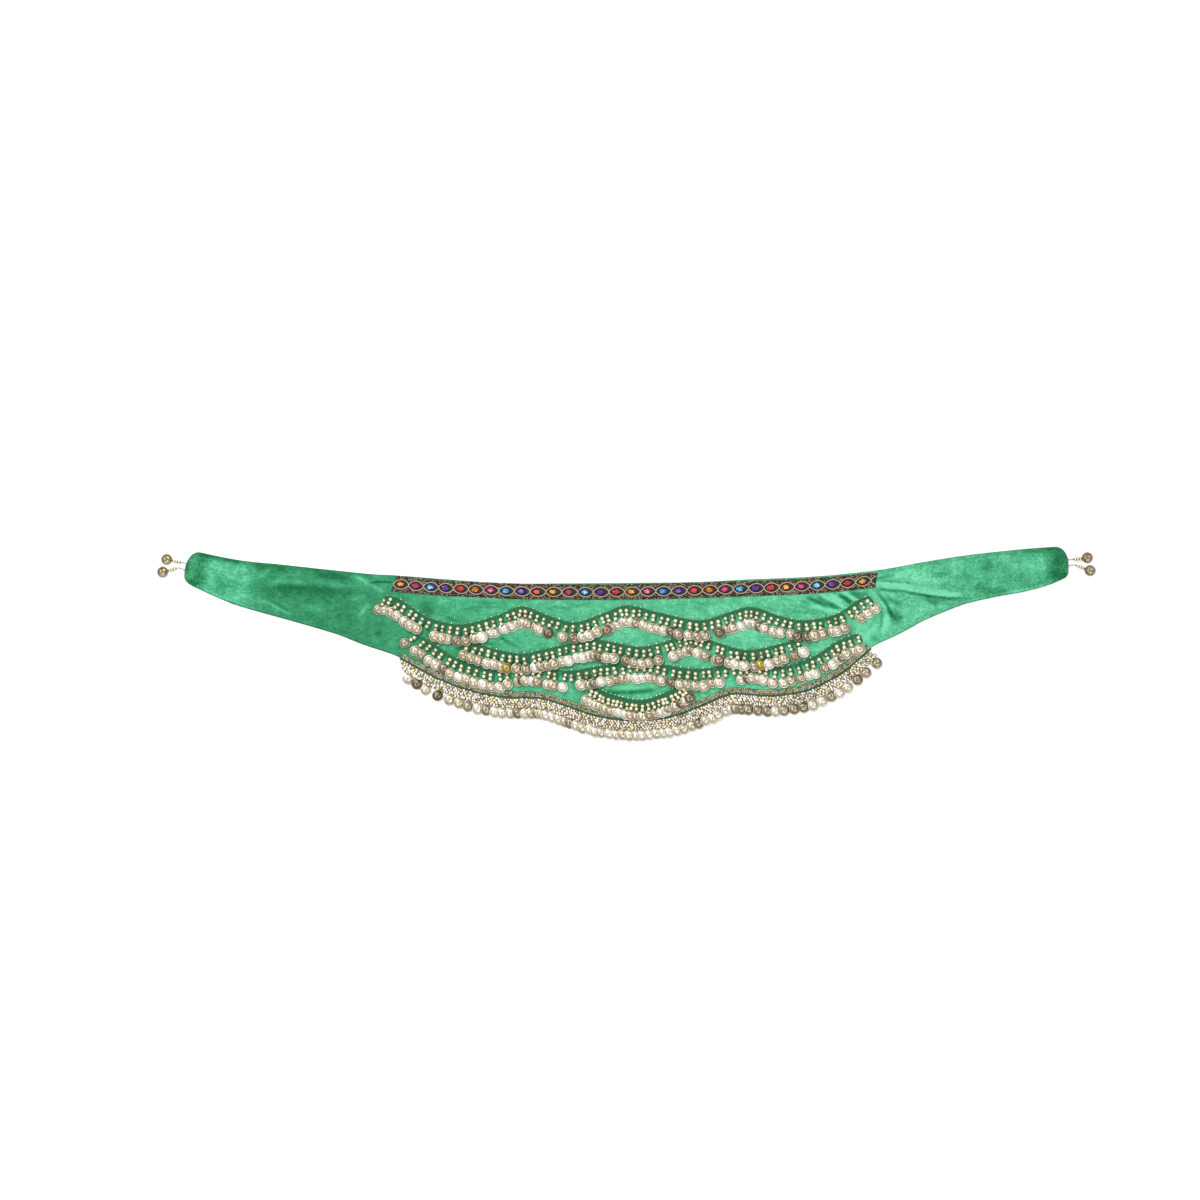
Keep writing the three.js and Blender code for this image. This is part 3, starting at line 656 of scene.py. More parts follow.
# half width, height, turn of the pile as painted light and shade, and then the x, y of the line's points
CREASES = """
    8 0 -0.75  -670 138 -640 136 -610 131 -588 128
    4 0 -0.7  -679 131 -681 110
    4 0.3 0.25  -656 84 -620 70 -588 60
    6 0 -0.35  -577 121 -545 117 -520 115
    4 0.8 0.5  -554 97 -520 96 -495 95
    12 -0.8 -0.34  -576 82 -535 81 -509 80 -460 78 -414 77
    3 -0.4 -0.25  -566 84 -535 87 -505 87 -470 84
    3 0.4 0.2  -470 88 -430 88 -398 92
    6 -0.5 -0.5  -486 108 -455 105 -423 99
    4 0.5 0.25  -495 96 -460 93 -430 90
    5 1.2 0.6  -430 108 -411 101 -393 90 -373 79
    4 0.3 0.35  -400 110 -380 104 -366 103
    1.6 -0.6 -1.3  -396 94 -385 96 -373 96 -360 95
    5 0.8 0.65  -396 63 -406 52 -416 41
    4 0.5 0.4  -427 70 -412 71 -400 74
    4 0.9 0.5  -582 69 -550 63 -532 52 -518 41
    3 -0.6 -0.4  -556 68 -536 58 -522 51
    7 0.3 0.2  -505 62 -480 52 -455 50
    4 0.3 0.3  -575 100 -560 108 -548 118
    5 -0.3 -0.5  -388 18 -380 13
    12 -0.3 -0.6  -312 68 -308 52 -300 42
    5 0.4 0.25  -298 61 -262 71 -220 72 -190 70
    2 -0.4 -0.45  -262 52 -230 57 -192 57
    2.6 -0.5 -0.7  -280 42 -268 37 -258 33
    2.4 -0.3 -0.3  -240 66 -215 62 -186 64
    2.2 -0.6 -0.8  -199 12 -184 3 -168 -5
    3 0.3 0.25  -190 24 -165 21 -140 24
    2 -0.4 -0.6  -225 8 -214 2 -205 -2
    2 -0.4 -0.4  -130 47 -112 58 -85 54
    2.2 -0.4 -0.45  -95 66 -75 58 -60 62
    2.2 0.4 0.3  -70 72 -50 68 -30 70
    2 -0.4 -0.45  100 66 122 61 148 66
    4 -0.9 -1  -50 -71 -15 -76 20 -74 52 -69
    3 0.6 0.35  -40 -66 0 -70 40 -66
    2.6 -0.4 -0.4  236 70 264 67 287 62
    3.4 -0.9 -0.95  278 73 296 66 312 60 328 55
    3.4 0.9 0.6  283 62 300 56 318 51 336 50
    2.2 -0.5 -0.45  274 53 296 51 312 45
    2.6 0.7 0.6  315 77 326 70 335 63
    3 -0.9 -0.95  327 78 342 69 351 61
    3.4 -0.7 -0.8  345 82 356 78 366 76 377 78
    2.4 0.7 0.5  336 82 348 73 356 66
    3 -0.4 -0.5  386 100 396 103 406 106
    2.4 -0.7 -0.9  293 75 315 62 336 51
    1.8 -0.4 -0.7  277 72 296 64 310 56
    2 0.6 0.6  299 78 322 66 342 54
    2.2 -0.7 -0.9  328 77 343 66 353 60
    2.2 -0.6 -0.9  347 78 359 72 370 69
    1.6 0.4 0.45  249 73 274 62 293 56
    2 -0.3 -0.45  242 56 274 48 302 45
    1.8 0.5 0.6  334 80 352 70 362 64
    6 -0.6 -0.7  400 55 413 40 424 32
    2 -0.5 -0.8  388 86 406 83 424 80
    2.4 0.6 0.5  391 95 430 91 471 84 520 78
    1.8 -0.4 -0.5  388 97 420 97 452 92
    2.4 -0.7 -0.7  384 84 397 71 411 44 422 38
    2.2 -0.4 -0.5  430 80 466 74 500 64
    1.8 -0.2 -0.25  306 64 280 58 262 58 240 62
    1.8 -0.2 -0.3  200 62 230 52 262 48
    3 -0.4 -0.5  392 60 396 40 392 20
    2.2 -0.3 -0.45  360 40 372 30 384 24
    3.4 1.2 0.75  388 95 412 90 440 83 470 78 500 76 526 74
    3 -0.9 -0.95  408 86 438 80 466 75 500 70 534 71
    5 -0.6 -0.7  462 75 471 66 484 61
    2.6 0.5 0.35  390 88 402 88 424 90 444 86
    7 -0.4 -0.6  534 91 560 82 588 80
    6 1.4 0.6  380 80 396 68 404 50 403 30 397 17
    3.4 -1 -0.95  386 77 400 66 408 50 414 40
    4 -0.7 -0.8  402 72 414 66 426 61
    4 -0.4 -0.6  412 51 420 44 428 38
    4 -0.4 -0.5  378 13 384 7 388 2
    4 0.3 0.5  590 79 630 84 660 92 676 101
    6 0 -0.5  608 143 640 145 668 148
    9 0.3 0.45  641 136 645 118 646 102
    5 0.3 0.3  426 34 440 40 460 52
    5 0.3 0.3  432 100 470 101 500 96
"""
# middle x, middle y, half length, half height, turn of the pile as painted light and shade
PATCHES = rows_of("""
    -661 104 10 14 -0.95   -657 127 12 9 -0.55   -640 122 15 11 0.45   -645 100 11 12 0.4
    -628 94 8 9 -0.4   -608 63 7 5 -0.6   -600 72 12 8 0.4   -614 112 18 10 0.3   -592 98 10 12 0.25
    -596 118 9 7 0.3   668 131 13 14 -0.85   661 108 12 11 -0.85   641 119 11 15 0   676 122 6 6 0.35
    675 104 6 5 -0.9   678 107 4 3 -1.6   -674 96 5 3 -1.2   -668 92 4 2 -1   559 117 7 8 -0.55
    560 129 10 6 -0.3   510 124 14 8 0.3   440 108 20 10 0.4   490 109 9 6 -0.35   613 97 13 9 -0.45
    624 122 12 14 0.25   585 100 16 9 -0.2   535 104 16 8 -0.15   585 130 18 7 0.15   470 56 14 8 0.25
    -110 68 30 10 0.15   0 25 42 14 0.2   160 24 40 13 0.35   372 20 18 20 0.3
""", 5)
# painted light and shade of the pile along the scarf's length, from the left tail to the right
PILE_SHADING_ALONG = rows_of("-684 -0.05 -640 0.1 -590 0.15 -560 -0.35 -470 -0.5 -380 -0.35 -300 0.0 -180 0.22"
                     " -60 0.36 60 0.46 200 0.55 330 0.52 430 0.52 540 0.3 625 0.32 655 -0.05 684 -0.4")


creases = [np.array(row.split(), float) for row in CREASES.split("\n") if row.strip()]
creases = [(row[:3], row[3:].reshape(-1, 2)) for row in creases]
print(len(FOLDS), "folds,", len(creases), "creases,", len(PATCHES), "patches")


def fold_lift(points):
    """Height of the broad folds: height * (1 - (d / half width)^2)^2, fading at both ends."""
    lift = np.zeros(len(points))
    for *ends, half_width, height in FOLDS:
        d, t = distance_to(points, np.reshape(ends, (2, 2)))
        lift = np.maximum(lift, height * clamped(1 - (d / half_width) ** 2) ** 2 * np.sqrt(4 * t * (1 - t)))
    return lift


def creases_at(points):
    """Height, and the turn of the nap as painted light and shade, of the listed creases and patches, both fading
    softly.
    """
    height, pile = np.zeros(len(points)), np.interp(points[:, 0], *PILE_SHADING_ALONG.T)
    for (half_width, rise, turn), line in creases:
        d, t = distance_to(points, line)
        fade = clamped(4 * np.minimum(t, 1 - t) + 0.15)
        height += rise * fade * clamped(1 - (d / half_width) ** 2) ** 2
        # painted light and shade: a crease's turn paints the pile lighter or darker along it
        pile += 1.25 * turn * fade * np.exp(-(d / (0.8 * half_width)) ** 2)
    offset = (points[:, None] - PATCHES[:, :2]) / PATCHES[:, 2:4]
    pile += (PATCHES[:, 4] * np.exp(-(offset ** 2).sum(-1))).sum(-1)
    return height, pile


# %% [markdown]
# ## The velvet panel
#
# The cloth is two millimetres of velvet with its hem turned under. Its closed section is carried
# from tail to tail: up over the right side from the lower edge to the top edge, round the hem, and
# back underneath. Rows are closer near the edges, where the turned hem is a little thicker and
# ends in a sunk line of stitches. A flat plane thickened by a modifier could not round its hem.

# %% The velvet's finish
def velvet_finish():
    """Velvet: the turn of its nap, painted light and shade, picks one of five greens, broken by patches, blots and
    specks, with a sheen.
    """
    finish = Finish("green_velvet")
    patches = finish.noise(62.0, 4.0)
    streaks = finish.noise(210.0, 3.0, stretch=(0.75, 1.25, 1.0))
    blots = finish.noise(360.0, 3.0)
    specks = finish.noise(850.0, 3.0)
    # painted light and shade: the marked turn of the pile, broken by the noises, picks lighter or darker greens
    turn = (finish.mark("pile") + (patches - 0.5) * 1.1 + (streaks - 0.5) * 1.25
            + (blots - 0.5) * finish.mark("mottle") + (specks - 0.5) * 1.1)
    return finish.done({
        "Base Color": finish.ramp(turn * 0.5 + 0.5, [
            (0.0, "13643d"), (0.25, "2d8056"), (0.5, "3c966a"), (0.75, "53b084"),
            (1.0, "72cca0")]),
        "Roughness": 0.86,
        "Normal": finish.bump(streaks * 0.5 + specks * 0.6, 0.45),
        "Sheen Weight": 0.35,
        "Sheen Roughness": 0.45,
        "Sheen Tint": dye("9fe8c6"),
        "Specular IOR Level": 0.15,
    })


green_velvet = velvet_finish()

# %% The panel
THICKNESS, HEM_INSET, EDGE_FADE = 2.0, 5.6, 9
COLUMNS, TOP_ROWS, UNDER_ROWS = 560, 92, 22


def panel_section(x):
    """Points and marks of the closed section at each x; v runs over the top and back underneath."""
    crowd = np.linspace(0, 1, TOP_ROWS)
    v_top = crowd - 0.62 * np.sin(2 * np.pi * crowd) / (2 * np.pi)
    v_under = np.linspace(1, 0, UNDER_ROWS + 2)[1:-1]
    v = np.concatenate([v_top, v_under])
    bottom, top = panel_bottom(x), panel_top(x)
    y = bottom[:, None] + v * (top - bottom)[:, None]
    points = np.stack([np.broadcast_to(x[:, None], y.shape), y], -1).reshape(-1, 2)
    lift = fold_lift(points).reshape(y.shape)
    crease, pile = (value.reshape(y.shape) for value in creases_at(points))
    steep_bottom = np.hypot(1, np.gradient(bottom, x))[:, None]
    steep_top = np.hypot(1, np.gradient(top, x))[:, None]
    to_lower, to_upper = (y - bottom[:, None]) / steep_bottom, (top[:, None] - y) / steep_top
    to_edge = np.minimum(to_lower, to_upper)
    rounding = np.sqrt(1 - (1 - clamped(to_edge / 1.6)) ** 2)
    tail = clamped((np.abs(x - 10) - 372) / 12)[:, None]
    hem = tail * (0.4 * np.exp(-((to_edge - 2.6) / 2.2) ** 2) - 0.3 * np.exp(-((to_edge - HEM_INSET) / 0.9) ** 2))
    thickness = 0.8 + (THICKNESS - 0.8 + hem) * rounding
    on_top = np.arange(len(v)) < TOP_ROWS
    fade = clamped(to_edge / EDGE_FADE)
    z = np.where(on_top, lift + thickness + crease * fade, lift)
    # painted shade: a dark line along the very edge and a darker line at the sunk stitches; on the tails the top hem
    # is painted darker and the lower hem a little lighter
    painted_edge_shading = tail * (0.1 * np.exp(-((to_edge - 3.0) / 1.8) ** 2) * np.where(to_lower < to_upper, 0.2, -1.6)
                        - 0.12 * np.exp(-((to_edge - 5.8) / 1.0) ** 2)) - 0.9 * np.exp(-(to_edge / 1.3) ** 2)
    mottle = np.interp(x, [-684, -640, -560, -520, 390, 420, 684], [2.2, 1.9, 1.4, 0.6, 0.9, 1.8, 2.0])
    grid = np.stack([np.broadcast_to(x[:, None], y.shape), y, z], -1)
    return grid, {"pile": (pile + painted_edge_shading).ravel(),
                  "mottle": np.broadcast_to(mottle[:, None], y.shape).ravel()}


ends = np.array([0.0, 0.35, 0.9, 1.7, 2.7, 4.0])
inner = np.linspace(-HALF_LENGTH + 5.8, HALF_LENGTH - 5.8, COLUMNS - 12)
panel_x = np.concatenate([-HALF_LENGTH + ends, inner, HALF_LENGTH - ends[::-1]])
panel_grid, panel_marks = panel_section(panel_x)
velvet = make_piece("velvet_panel", swept(panel_grid[None], panel_marks), green_velvet,
                    ["velvet_body"])
panel_area = float(np.trapz(panel_top(panel_x) - panel_bottom(panel_x), panel_x)) * MM * MM
print("velvet area", round(panel_area, 4), "square metres")

# %% [markdown]
# ## The hem stitches
#
# The tails' hems are held by a line of machine stitches. Each stitch is a short thread that
# sinks at both ends, so one bent tube is carried along the outline, a hem's width inside it.

# %% Stitches along the tails
def hem_line(edge, x, inset):
    """Points a fixed distance inside an edge: the edge moved along its own normal."""
    y = edge(x)
    slope = np.gradient(y, x)
    inward = np.stack([-slope, np.ones_like(x)], 1) / np.hypot(1, slope)[:, None]
    sign = 1 if edge is panel_bottom else -1
    return np.stack([x, y], 1) + sign * inset * inward


def walk(line, distances):
    """Places and directions at distances along a line of points."""
    lengths = distances_along(line)

    def at(s):
        return np.stack([np.interp(s, lengths, line[:, k]) for k in range(2)], -1)

    return at(distances), unit(at(distances + 0.6) - at(distances - 0.6))


def surface_height(points):
    """Height of the velvet's right side at points: thickness, folds and creases."""
    to_edge = np.minimum(points[:, 1] - panel_bottom(points[:, 0]), panel_top(points[:, 0]) - points[:, 1])
    return THICKNESS + fold_lift(points) + creases_at(points)[0] * clamped(to_edge / EDGE_FADE)


STITCH_PITCH, HALF_STITCH = 4.4, 1.5
stitch_paths = []
for edge, start, end in [(panel_top, -676, -366), (panel_bottom, -680, -362), (panel_top, 390, 678),
                         (panel_bottom, 392, 681)]:
    line = hem_line(edge, np.linspace(start, end, 700), HEM_INSET)
    spots, forward = walk(line, np.arange(2.0, distances_along(line)[-1] - 2, STITCH_PITCH))
    steps = np.linspace(-HALF_STITCH, HALF_STITCH, 5)
    flat = spots[:, None] + forward[:, None] * steps[:, None]
    z = surface_height(spots)[:, None] - 0.75 + 0.55 * (1 - (steps / HALF_STITCH) ** 2)
    stitch_paths.append(np.concatenate([flat, z[..., None]], -1))
hem_thread = thread_finish("hem_thread", "1d7249", "46a677")
stitches = make_piece("hem_stitches", tubes(np.concatenate(stitch_paths), 0.3, 5), hem_thread)

# %% [markdown]
# ## The jacquard ribbon
#
# The ribbon is woven: a black ground, a speckled border on both sides, and two pale cords that
# cross between the stones and make an oval round each. The ground is a thin band carried along
# the ribbon's line. The cords are tubes that pass over and under each other, and the border is
# some thousands of raised threads, one small pillow copied in rows, each with its own colour.

# %% The ribbon's line and ground
RIBBON_LINE = rows_of("""-366 94 -300 87.8 -257 85.4 -178 81.8 -118 80.6 -39 80.2 37 81.2 120 83.4
    174 85.4 249 88 323 92.6 390 99.5""")
RIBBON_FROM, RIBBON_TO, RIBBON_WIDTH, RIBBON_LOW, RIBBON_HIGH = -359.5, 386.5, 24.0, 2.3, 3.4
SLANT_REACH = 45


def on_ribbon(x, across, z):
    """A point on the ribbon: at x along it, across from its middle line, with its ends slanted."""
    near_left, near_right = (clamped(1 - gap / SLANT_REACH) for gap in (x - RIBBON_FROM, RIBBON_TO - x))
    slant = (4.5 * near_left + 2.0 * near_right) * across / (RIBBON_WIDTH / 2)
    return np.stack(np.broadcast_arrays(x + slant, height_on(RIBBON_LINE, x) + across, z), -1)


def ground_finish():
    """Black satin ground: fine ribs along the weft with a few brown threads."""
    finish = Finish("ribbon_ground")
    ribs = finish.noise(1500.0, 2.0, stretch=(0.35, 1.8, 1.0))
    threads = finish.noise(420.0, 3.0)
    return finish.done({
        "Base Color": finish.ramp(threads * 0.6 + ribs * 0.4, [
            (0.3, "060405"), (0.58, "120c0f"), (0.75, "3a2820")]),
        "Roughness": 0.6,
        "Normal": finish.bump(ribs, 0.3),
        "Sheen Weight": 0.1,
    })


x = np.linspace(RIBBON_FROM, RIBBON_TO, 300)[:, None]
half = RIBBON_WIDTH / 2
across = np.array([-half, -half + 0.4, -6, 0, 6, half - 0.4, half, half - 0.3, -half + 0.3])
heights = np.array([2.7, *[RIBBON_HIGH] * 5, 2.7, RIBBON_LOW, RIBBON_LOW])
ribbon = make_piece("ribbon_ground", swept(on_ribbon(x, across, heights)[None]), ground_finish(),
                    ["gem_ribbon"])

# %% The crossing cords
STONE_PLACES = rows_of("1 -349.5 8 -187 13 -64.8 21 128 31 365")
stone_x = height_on(STONE_PLACES, np.arange(1, 32))
oval_middles = stone_x + np.interp(np.arange(31), [0, 10, 30], [1.2, 1.8, 1.6])
crossings = np.concatenate([[oval_middles[0] * 1.5 - oval_middles[1] * 0.5],
                            (oval_middles[1:] + oval_middles[:-1]) / 2,
                            [oval_middles[-1] * 1.5 - oval_middles[-2] * 0.5]])


CORD_SWING, CORD_POWER = 7.3, 0.62


def cord_paths(x, phase):
    """Two lines that swing apart and cross: across = 7.3 * |sin|^0.62 of the crossings passed."""
    wave = np.sin(np.pi * phase)
    swing = CORD_SWING * np.sign(wave) * np.abs(wave) ** CORD_POWER
    weave = 0.45 * np.cos(np.pi * phase)
    over = RIBBON_HIGH + 0.75
    return np.stack([on_ribbon(x, swing, over + weave), on_ribbon(x, -swing, over - weave)])


cord_x = np.linspace(crossings[0], RIBBON_TO - 0.8, 1500)
phase = np.interp(cord_x, np.append(crossings, crossings[-1] + 23.8), np.arange(len(crossings) + 1))
pale_cord = thread_finish("pale_cord", "8a7a52", "e8deba")
ribbon_cords = make_piece("ribbon_cords", tubes(cord_paths(cord_x, phase), 0.64, 7), pale_cord)

# %% The speckled borders
def woven_finish(name, metal, roughness):
    """Raised threads: each copy's own colour, with fine ribs along it and a soft shine."""
    finish = Finish(name)
    ribs = finish.math("SINE", finish.place()[1] * 9.0) * 0.5 + 0.5
    fuzz = finish.noise(1100.0, 3.0)
    shade = finish.ramp(ribs * 0.5 + fuzz * 0.5, [(0.15, "8c8c8c"), (0.8, "ffffff")])
    return finish.done({
        "Base Color": finish.mix(finish.mark("colour", "Color"), shade, 1.0, "MULTIPLY"),
        "Metallic": metal,
        "Roughness": roughness + fuzz * 0.2,
        "Normal": finish.bump(ribs + fuzz * 0.5, 0.15),
    })


pillow = turned([(0, -0.2), (1, -0.2), (0.8, 0.7), (0, 1)], 6)


def pillows(spots, forward, size, colours):
    """Pillows at spots: long along forward, square across it, standing up."""
    count = len(spots)
    forward = raised(forward, np.zeros(count))
    axes = np.stack([forward * size[0], np.cross(UP, forward) * size[1], np.tile(UP * size[2], (count, 1))], axis=1)
    return scatter(pillow, spots, axes, {"colour": colours})


BORDER_THREADS = np.array([dye(code) for code in (
    "7c5444 b08c66 e0cba0 1d1110 a86a78 6f6540 dcc8a0 2c1a16 c79c84 5c323c 140b0c").split()])
row_x = np.arange(RIBBON_FROM + 1.2, RIBBON_TO - 0.8, 2.3)
rows = np.array([-11.0, -9.4, -7.8, -6.2, -4.6, -3.0, 3.0, 4.6, 6.2, 7.8, 9.4, 11.0])
grid_x = (row_x[:, None] + 0.95 * (np.arange(12) % 2)).ravel()
grid_across = np.tile(rows, len(row_x)) + chance.uniform(-0.15, 0.15, len(grid_x))
swing_there = CORD_SWING * np.abs(np.sin(np.pi * np.interp(grid_x, cord_x, phase))) ** CORD_POWER
outside = np.abs(grid_across) > np.maximum(swing_there + 1.5, np.where(grid_x < crossings[0] + 1, 7.0, 0.0))
grid_x, grid_across = grid_x[outside], grid_across[outside]
ahead = unit((on_ribbon(grid_x + 1, grid_across, 0.0) - on_ribbon(grid_x, grid_across, 0.0))[:, :2])
ahead = rotated(ahead, np.radians(28) * np.sign(grid_across))
picked = BORDER_THREADS[chance.integers(0, len(BORDER_THREADS), len(grid_x))]
ribbon_border = make_piece(
    "ribbon_border", pillows(on_ribbon(grid_x, grid_across, RIBBON_HIGH), ahead, (1.35, 0.74, 0.55), picked),
    woven_finish("ribbon_threads", 0.15, 0.5))

# %% [markdown]
# ## The stones
#
# The stones are pressed ovals with a flat back, faceted like cut glass and glued on in five
# repeating colours. Each is built as five rings of twelve corners, and the ring below the table is
# turned by half a step so that the crown breaks into triangles. The facets are shaded flat, and
# each has a painted brightness of its own: painted shade at the girdle and a painted highlight
# on the table, for the light the foil behind reflects.

# %% A faceted oval
def stone_shape(length, width, height):
    """Rings of twelve corners at falling sizes and rising heights, joined by triangles."""
    sides = 12
    ring_sizes = np.array([0.94, 1.0, 0.97, 0.8, 0.5])
    ring_heights = np.array([0.0, 0.12, 0.3, 0.72, 1.0]) * height
    turns = np.array([0, 0, 0, 0.5, 0])
    angle = (np.arange(sides) + turns[:, None]) * 2 * np.pi / sides
    points = np.stack(np.broadcast_arrays(np.cos(angle) * ring_sizes[:, None] * length / 2,
                                          np.sin(angle) * ring_sizes[:, None] * width / 2,
                                          ring_heights[:, None]), -1).reshape(-1, 3)
    j = np.arange(sides)
    k = (j + 1) % sides
    quads = np.concatenate([np.stack([j + a, k + a, k + a + sides, j + a + sides], 1) for a in (0, sides)])
    low, mid, top = 2 * sides, 3 * sides, 4 * sides
    triangles = np.concatenate([
        np.stack([low + j, low + k, mid + j], 1), np.stack([low + k, mid + k, mid + j], 1),
        np.stack([mid + j, mid + k, top + k], 1), np.stack([mid + j, top + k, top + j], 1)])
    caps = np.stack([j[::-1], top + j])
    faces = [quads, triangles, caps]
    return Shape(points, faces, [points[face][..., :2] for face in faces])


def stone_finish(name, deep, middle, bright):
    """Foiled glass: a facet's painted brightness, for the light the foil reflects, picks its depth of colour, under a
    hard clear coat.
    """
    finish = Finish(name)
    glints = finish.noise(380.0, 2.0)
    return finish.done({
        # painted reflection: dark facets take the painted shade colour, bright ones the painted highlight
        "Base Color": finish.ramp(finish.mark("facet") + (glints - 0.5) * 0.9, [
            (0.1, deep), (0.6, middle), (1.0, bright)]),
        "Roughness": 0.12 + glints * 0.08,
        "Normal": finish.bump(glints, 0.08),
        "Coat Weight": 0.5,
        "Coat Roughness": 0.03,
    })


STONE_DYES = {
    "orange": ("3a1a03", "c96c10", "ffd870"), "pink": ("30041c", "b81866", "ff86bc"),
    "blue": ("042a4c", "1a8cca", "c4f0ff"), "purple": ("14042c", "5a1c90", "c07cea"),
    "red": ("2c0305", "bf1419", "ff7654"),
}
stone_finishes = {name: stone_finish(f"stone_{name}", *dyes) for name, dyes in STONE_DYES.items()}
oval = stone_shape(14.0, 9.6, 3.9)
facet_count = sum(len(face) for face in oval.faces)
for number in range(1, 32):
    low, high = (np.array(corner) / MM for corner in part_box(f"gem_{number:02d}"))
    middle = np.array([*((low + high) / 2)[:2], RIBBON_HIGH + 0.1])
    turn = np.arctan(height_on(RIBBON_LINE, middle[0] + 1) - height_on(RIBBON_LINE, middle[0]))
    axes = np.array([[np.cos(turn), np.sin(turn), 0], [-np.sin(turn), np.cos(turn), 0], [0, 0, 1]])
    colour = list(STONE_DYES)[(number - 1) % 5]
    # painted reflection and shade: dark girdle and lower crown, brighter upper crown, a bright table
    facets = clamped(chance.normal(0.1, 0.1, facet_count))
    facets[24:48] = clamped(chance.normal(0.12, 0.12, 24))
    facets[48:72] = clamped(chance.normal(0.4, 0.26, 24))
    facets[-1] = chance.uniform(0.5, 0.85)
    make_piece(f"stone_{number:02d}", scatter(oval, middle[None], axes), stone_finishes[colour],
               [f"gem_{number:02d}"], smooth=False, facets=facets)

# %% [markdown]
# ## The draped rows
#
# Each row is crocheted from green thread: a heading chain with tiny beads on it, and from it drops
# of two gold beads and a coin. The rows hang in scallops and cross each other, and where a row
# crosses a lower one it lies on top of it. So a row's height at a point is the velvet's height
# plus a rise for every row already laid there. Dropping each coin by simulation would take long
# and give another order each time, while the rule keeps the rows where they are sewn.

# %% Where the rows run
SWAG_LINES = {
    1: rows_of("""-373 74 -353 70 -315 45 -290 35 -251 30 -201 43 -161 57.5 -117 42 -79 33 -35 47 1 59
        51 48 113 36 161 49 195 56.5 239 42 275 36 324 45 358 67 376 74"""),
    2: rows_of("""-245 5 -201 -9 -162 -15 -123 -8 -59 6 -20 2 20 -5 54 1 100 15 139 2 188 -10 240 0
        270 9"""),
    3: rows_of("""-322 14 -298 0 -259 -24 -202 -42 -157 -32 -94 -42 -31 -33 29 -28 108 -39 195 -29
        240 -36 290 -20 327 4 357 15.5"""),
    4: rows_of("-52 -64 -24 -78 22 -87 60 -76 90 -61"),
}
SWAG_FAN = {1: (34, 30), 2: (6, 26), 3: (32, 0), 4: (4, 16)}
# how far down from the heading a band starts and ends, and how much it lifts what crosses it
BANDS = ((-3.0, 12.4, 5.4), (12.7, 32.5, 3.2))
FAN_REACH = 34


def smooth_line(rows, steps=60):
    """A Catmull-Rom line: each point blends the four nearest rows by cubic weights."""
    rows = np.vstack([rows[:1], rows, rows[-1:]])
    before, start, end, after = (rows[k:len(rows) - 3 + k][:, None] for k in range(4))
    t = (np.arange(steps) / steps)[None, :, None]
    leave, arrive = (end - before) / 2, (after - start) / 2
    curve = ((2 * start - 2 * end + leave + arrive) * t ** 3
             + (-3 * start + 3 * end - 2 * leave - arrive) * t ** 2 + leave * t + start)
    return np.vstack([curve.reshape(-1, 2), rows[-1:]])


def drops_of(number, distances):
    """Heading points and hanging directions of a row at distances along it, in plan."""
    line = smooth_line(SWAG_LINES[number])
    spots, forward = walk(line, distances)
    down = 0.85 * np.stack([forward[:, 1], -forward[:, 0]], 1) + [0, -0.15]
    left, right = SWAG_FAN[number]
    near_left = clamped(1 - distances / FAN_REACH)
    near_right = clamped(1 - (distances_along(line)[-1] - distances) / FAN_REACH)
    return spots, unit(rotated(down, np.radians(right * near_right - left * near_left)))


def row_length(number):
    """Length of a row's heading."""
    return distances_along(smooth_line(SWAG_LINES[number]))[-1]


def row_rise(points, number):
    """How far a laid row lifts what crosses it: full over its beads and coins, fading around them."""
    spots, down = drops_of(number, np.linspace(0, row_length(number), 70))
    rise = np.zeros(len(points))
    for first, last, height in BANDS:
        gap, _ = distance_to(points, spots + down * (first + last) / 2)
        outside = gap - (last - first) / 2
        rise = np.maximum(rise, height * clamped((21 - outside) / 10))
    return rise


def ground_under(points, laid):
    """Height of what a row lies on: velvet, trims of the lower edge, and the rows already laid."""
    inside = points[:, 1] - panel_bottom(points[:, 0])
    edge_rise = 1.7 * clamped((32 - inside) / 10)
    return RIBBON_LOW + fold_lift(points) + edge_rise + sum(row_rise(points, number) for number in laid)


# %% Coins laid like scales
def laid_coins(spots, down, height, radius, roll, tone, gilt=None):
    """Coins that hang along down and lie on a height: each rolls about its own drop."""
    count = len(spots)
    down3 = raised(down, np.zeros(count))
    side = np.cross(down3, UP)
    nod = chance.normal(0, 0.03, count)[:, None]
    across = side * np.cos(roll)[:, None] + UP * np.sin(roll)[:, None]
    face = unit(np.cross(across, -down3 + UP * nod))
    along = np.cross(face, across)
    axes = np.stack([across * radius[:, None], along * radius[:, None], face * 0.9], axis=1)
    return scatter(coin, raised(spots, height), axes, {
        "tone": tone, "spin": chance.uniform(0, 6.28, count),
        "gilt": np.zeros(count) if gilt is None else gilt})


# %% How the drops of each row run
DROP_PITCH = {1: 11.0, 2: 11.0, 3: 11.4, 4: 7.2}
# first bead's depth and its spread, gap to the second bead, share of drops with no coin, coin shift
LOOSE, TIGHT = (6.6, 0.7, 6.2, 0.05, 1.6), (8.6, 0.4, 5.6, 0.0, 0.5)
DROPS = {1: LOOSE, 2: LOOSE, 3: LOOSE, 4: TIGHT}
CHAIN_WAVE, COIN_DEPTH = 5.2, 24.2
GILT_SPOTS = ((-177.6, -38.7), (205.4, -35.6))
clear_bead = bead_finish("clear_bead", "5d6a3a", "f4f0d2", 0.3, 0.14)
on_velvet = [ribbon, stitches]


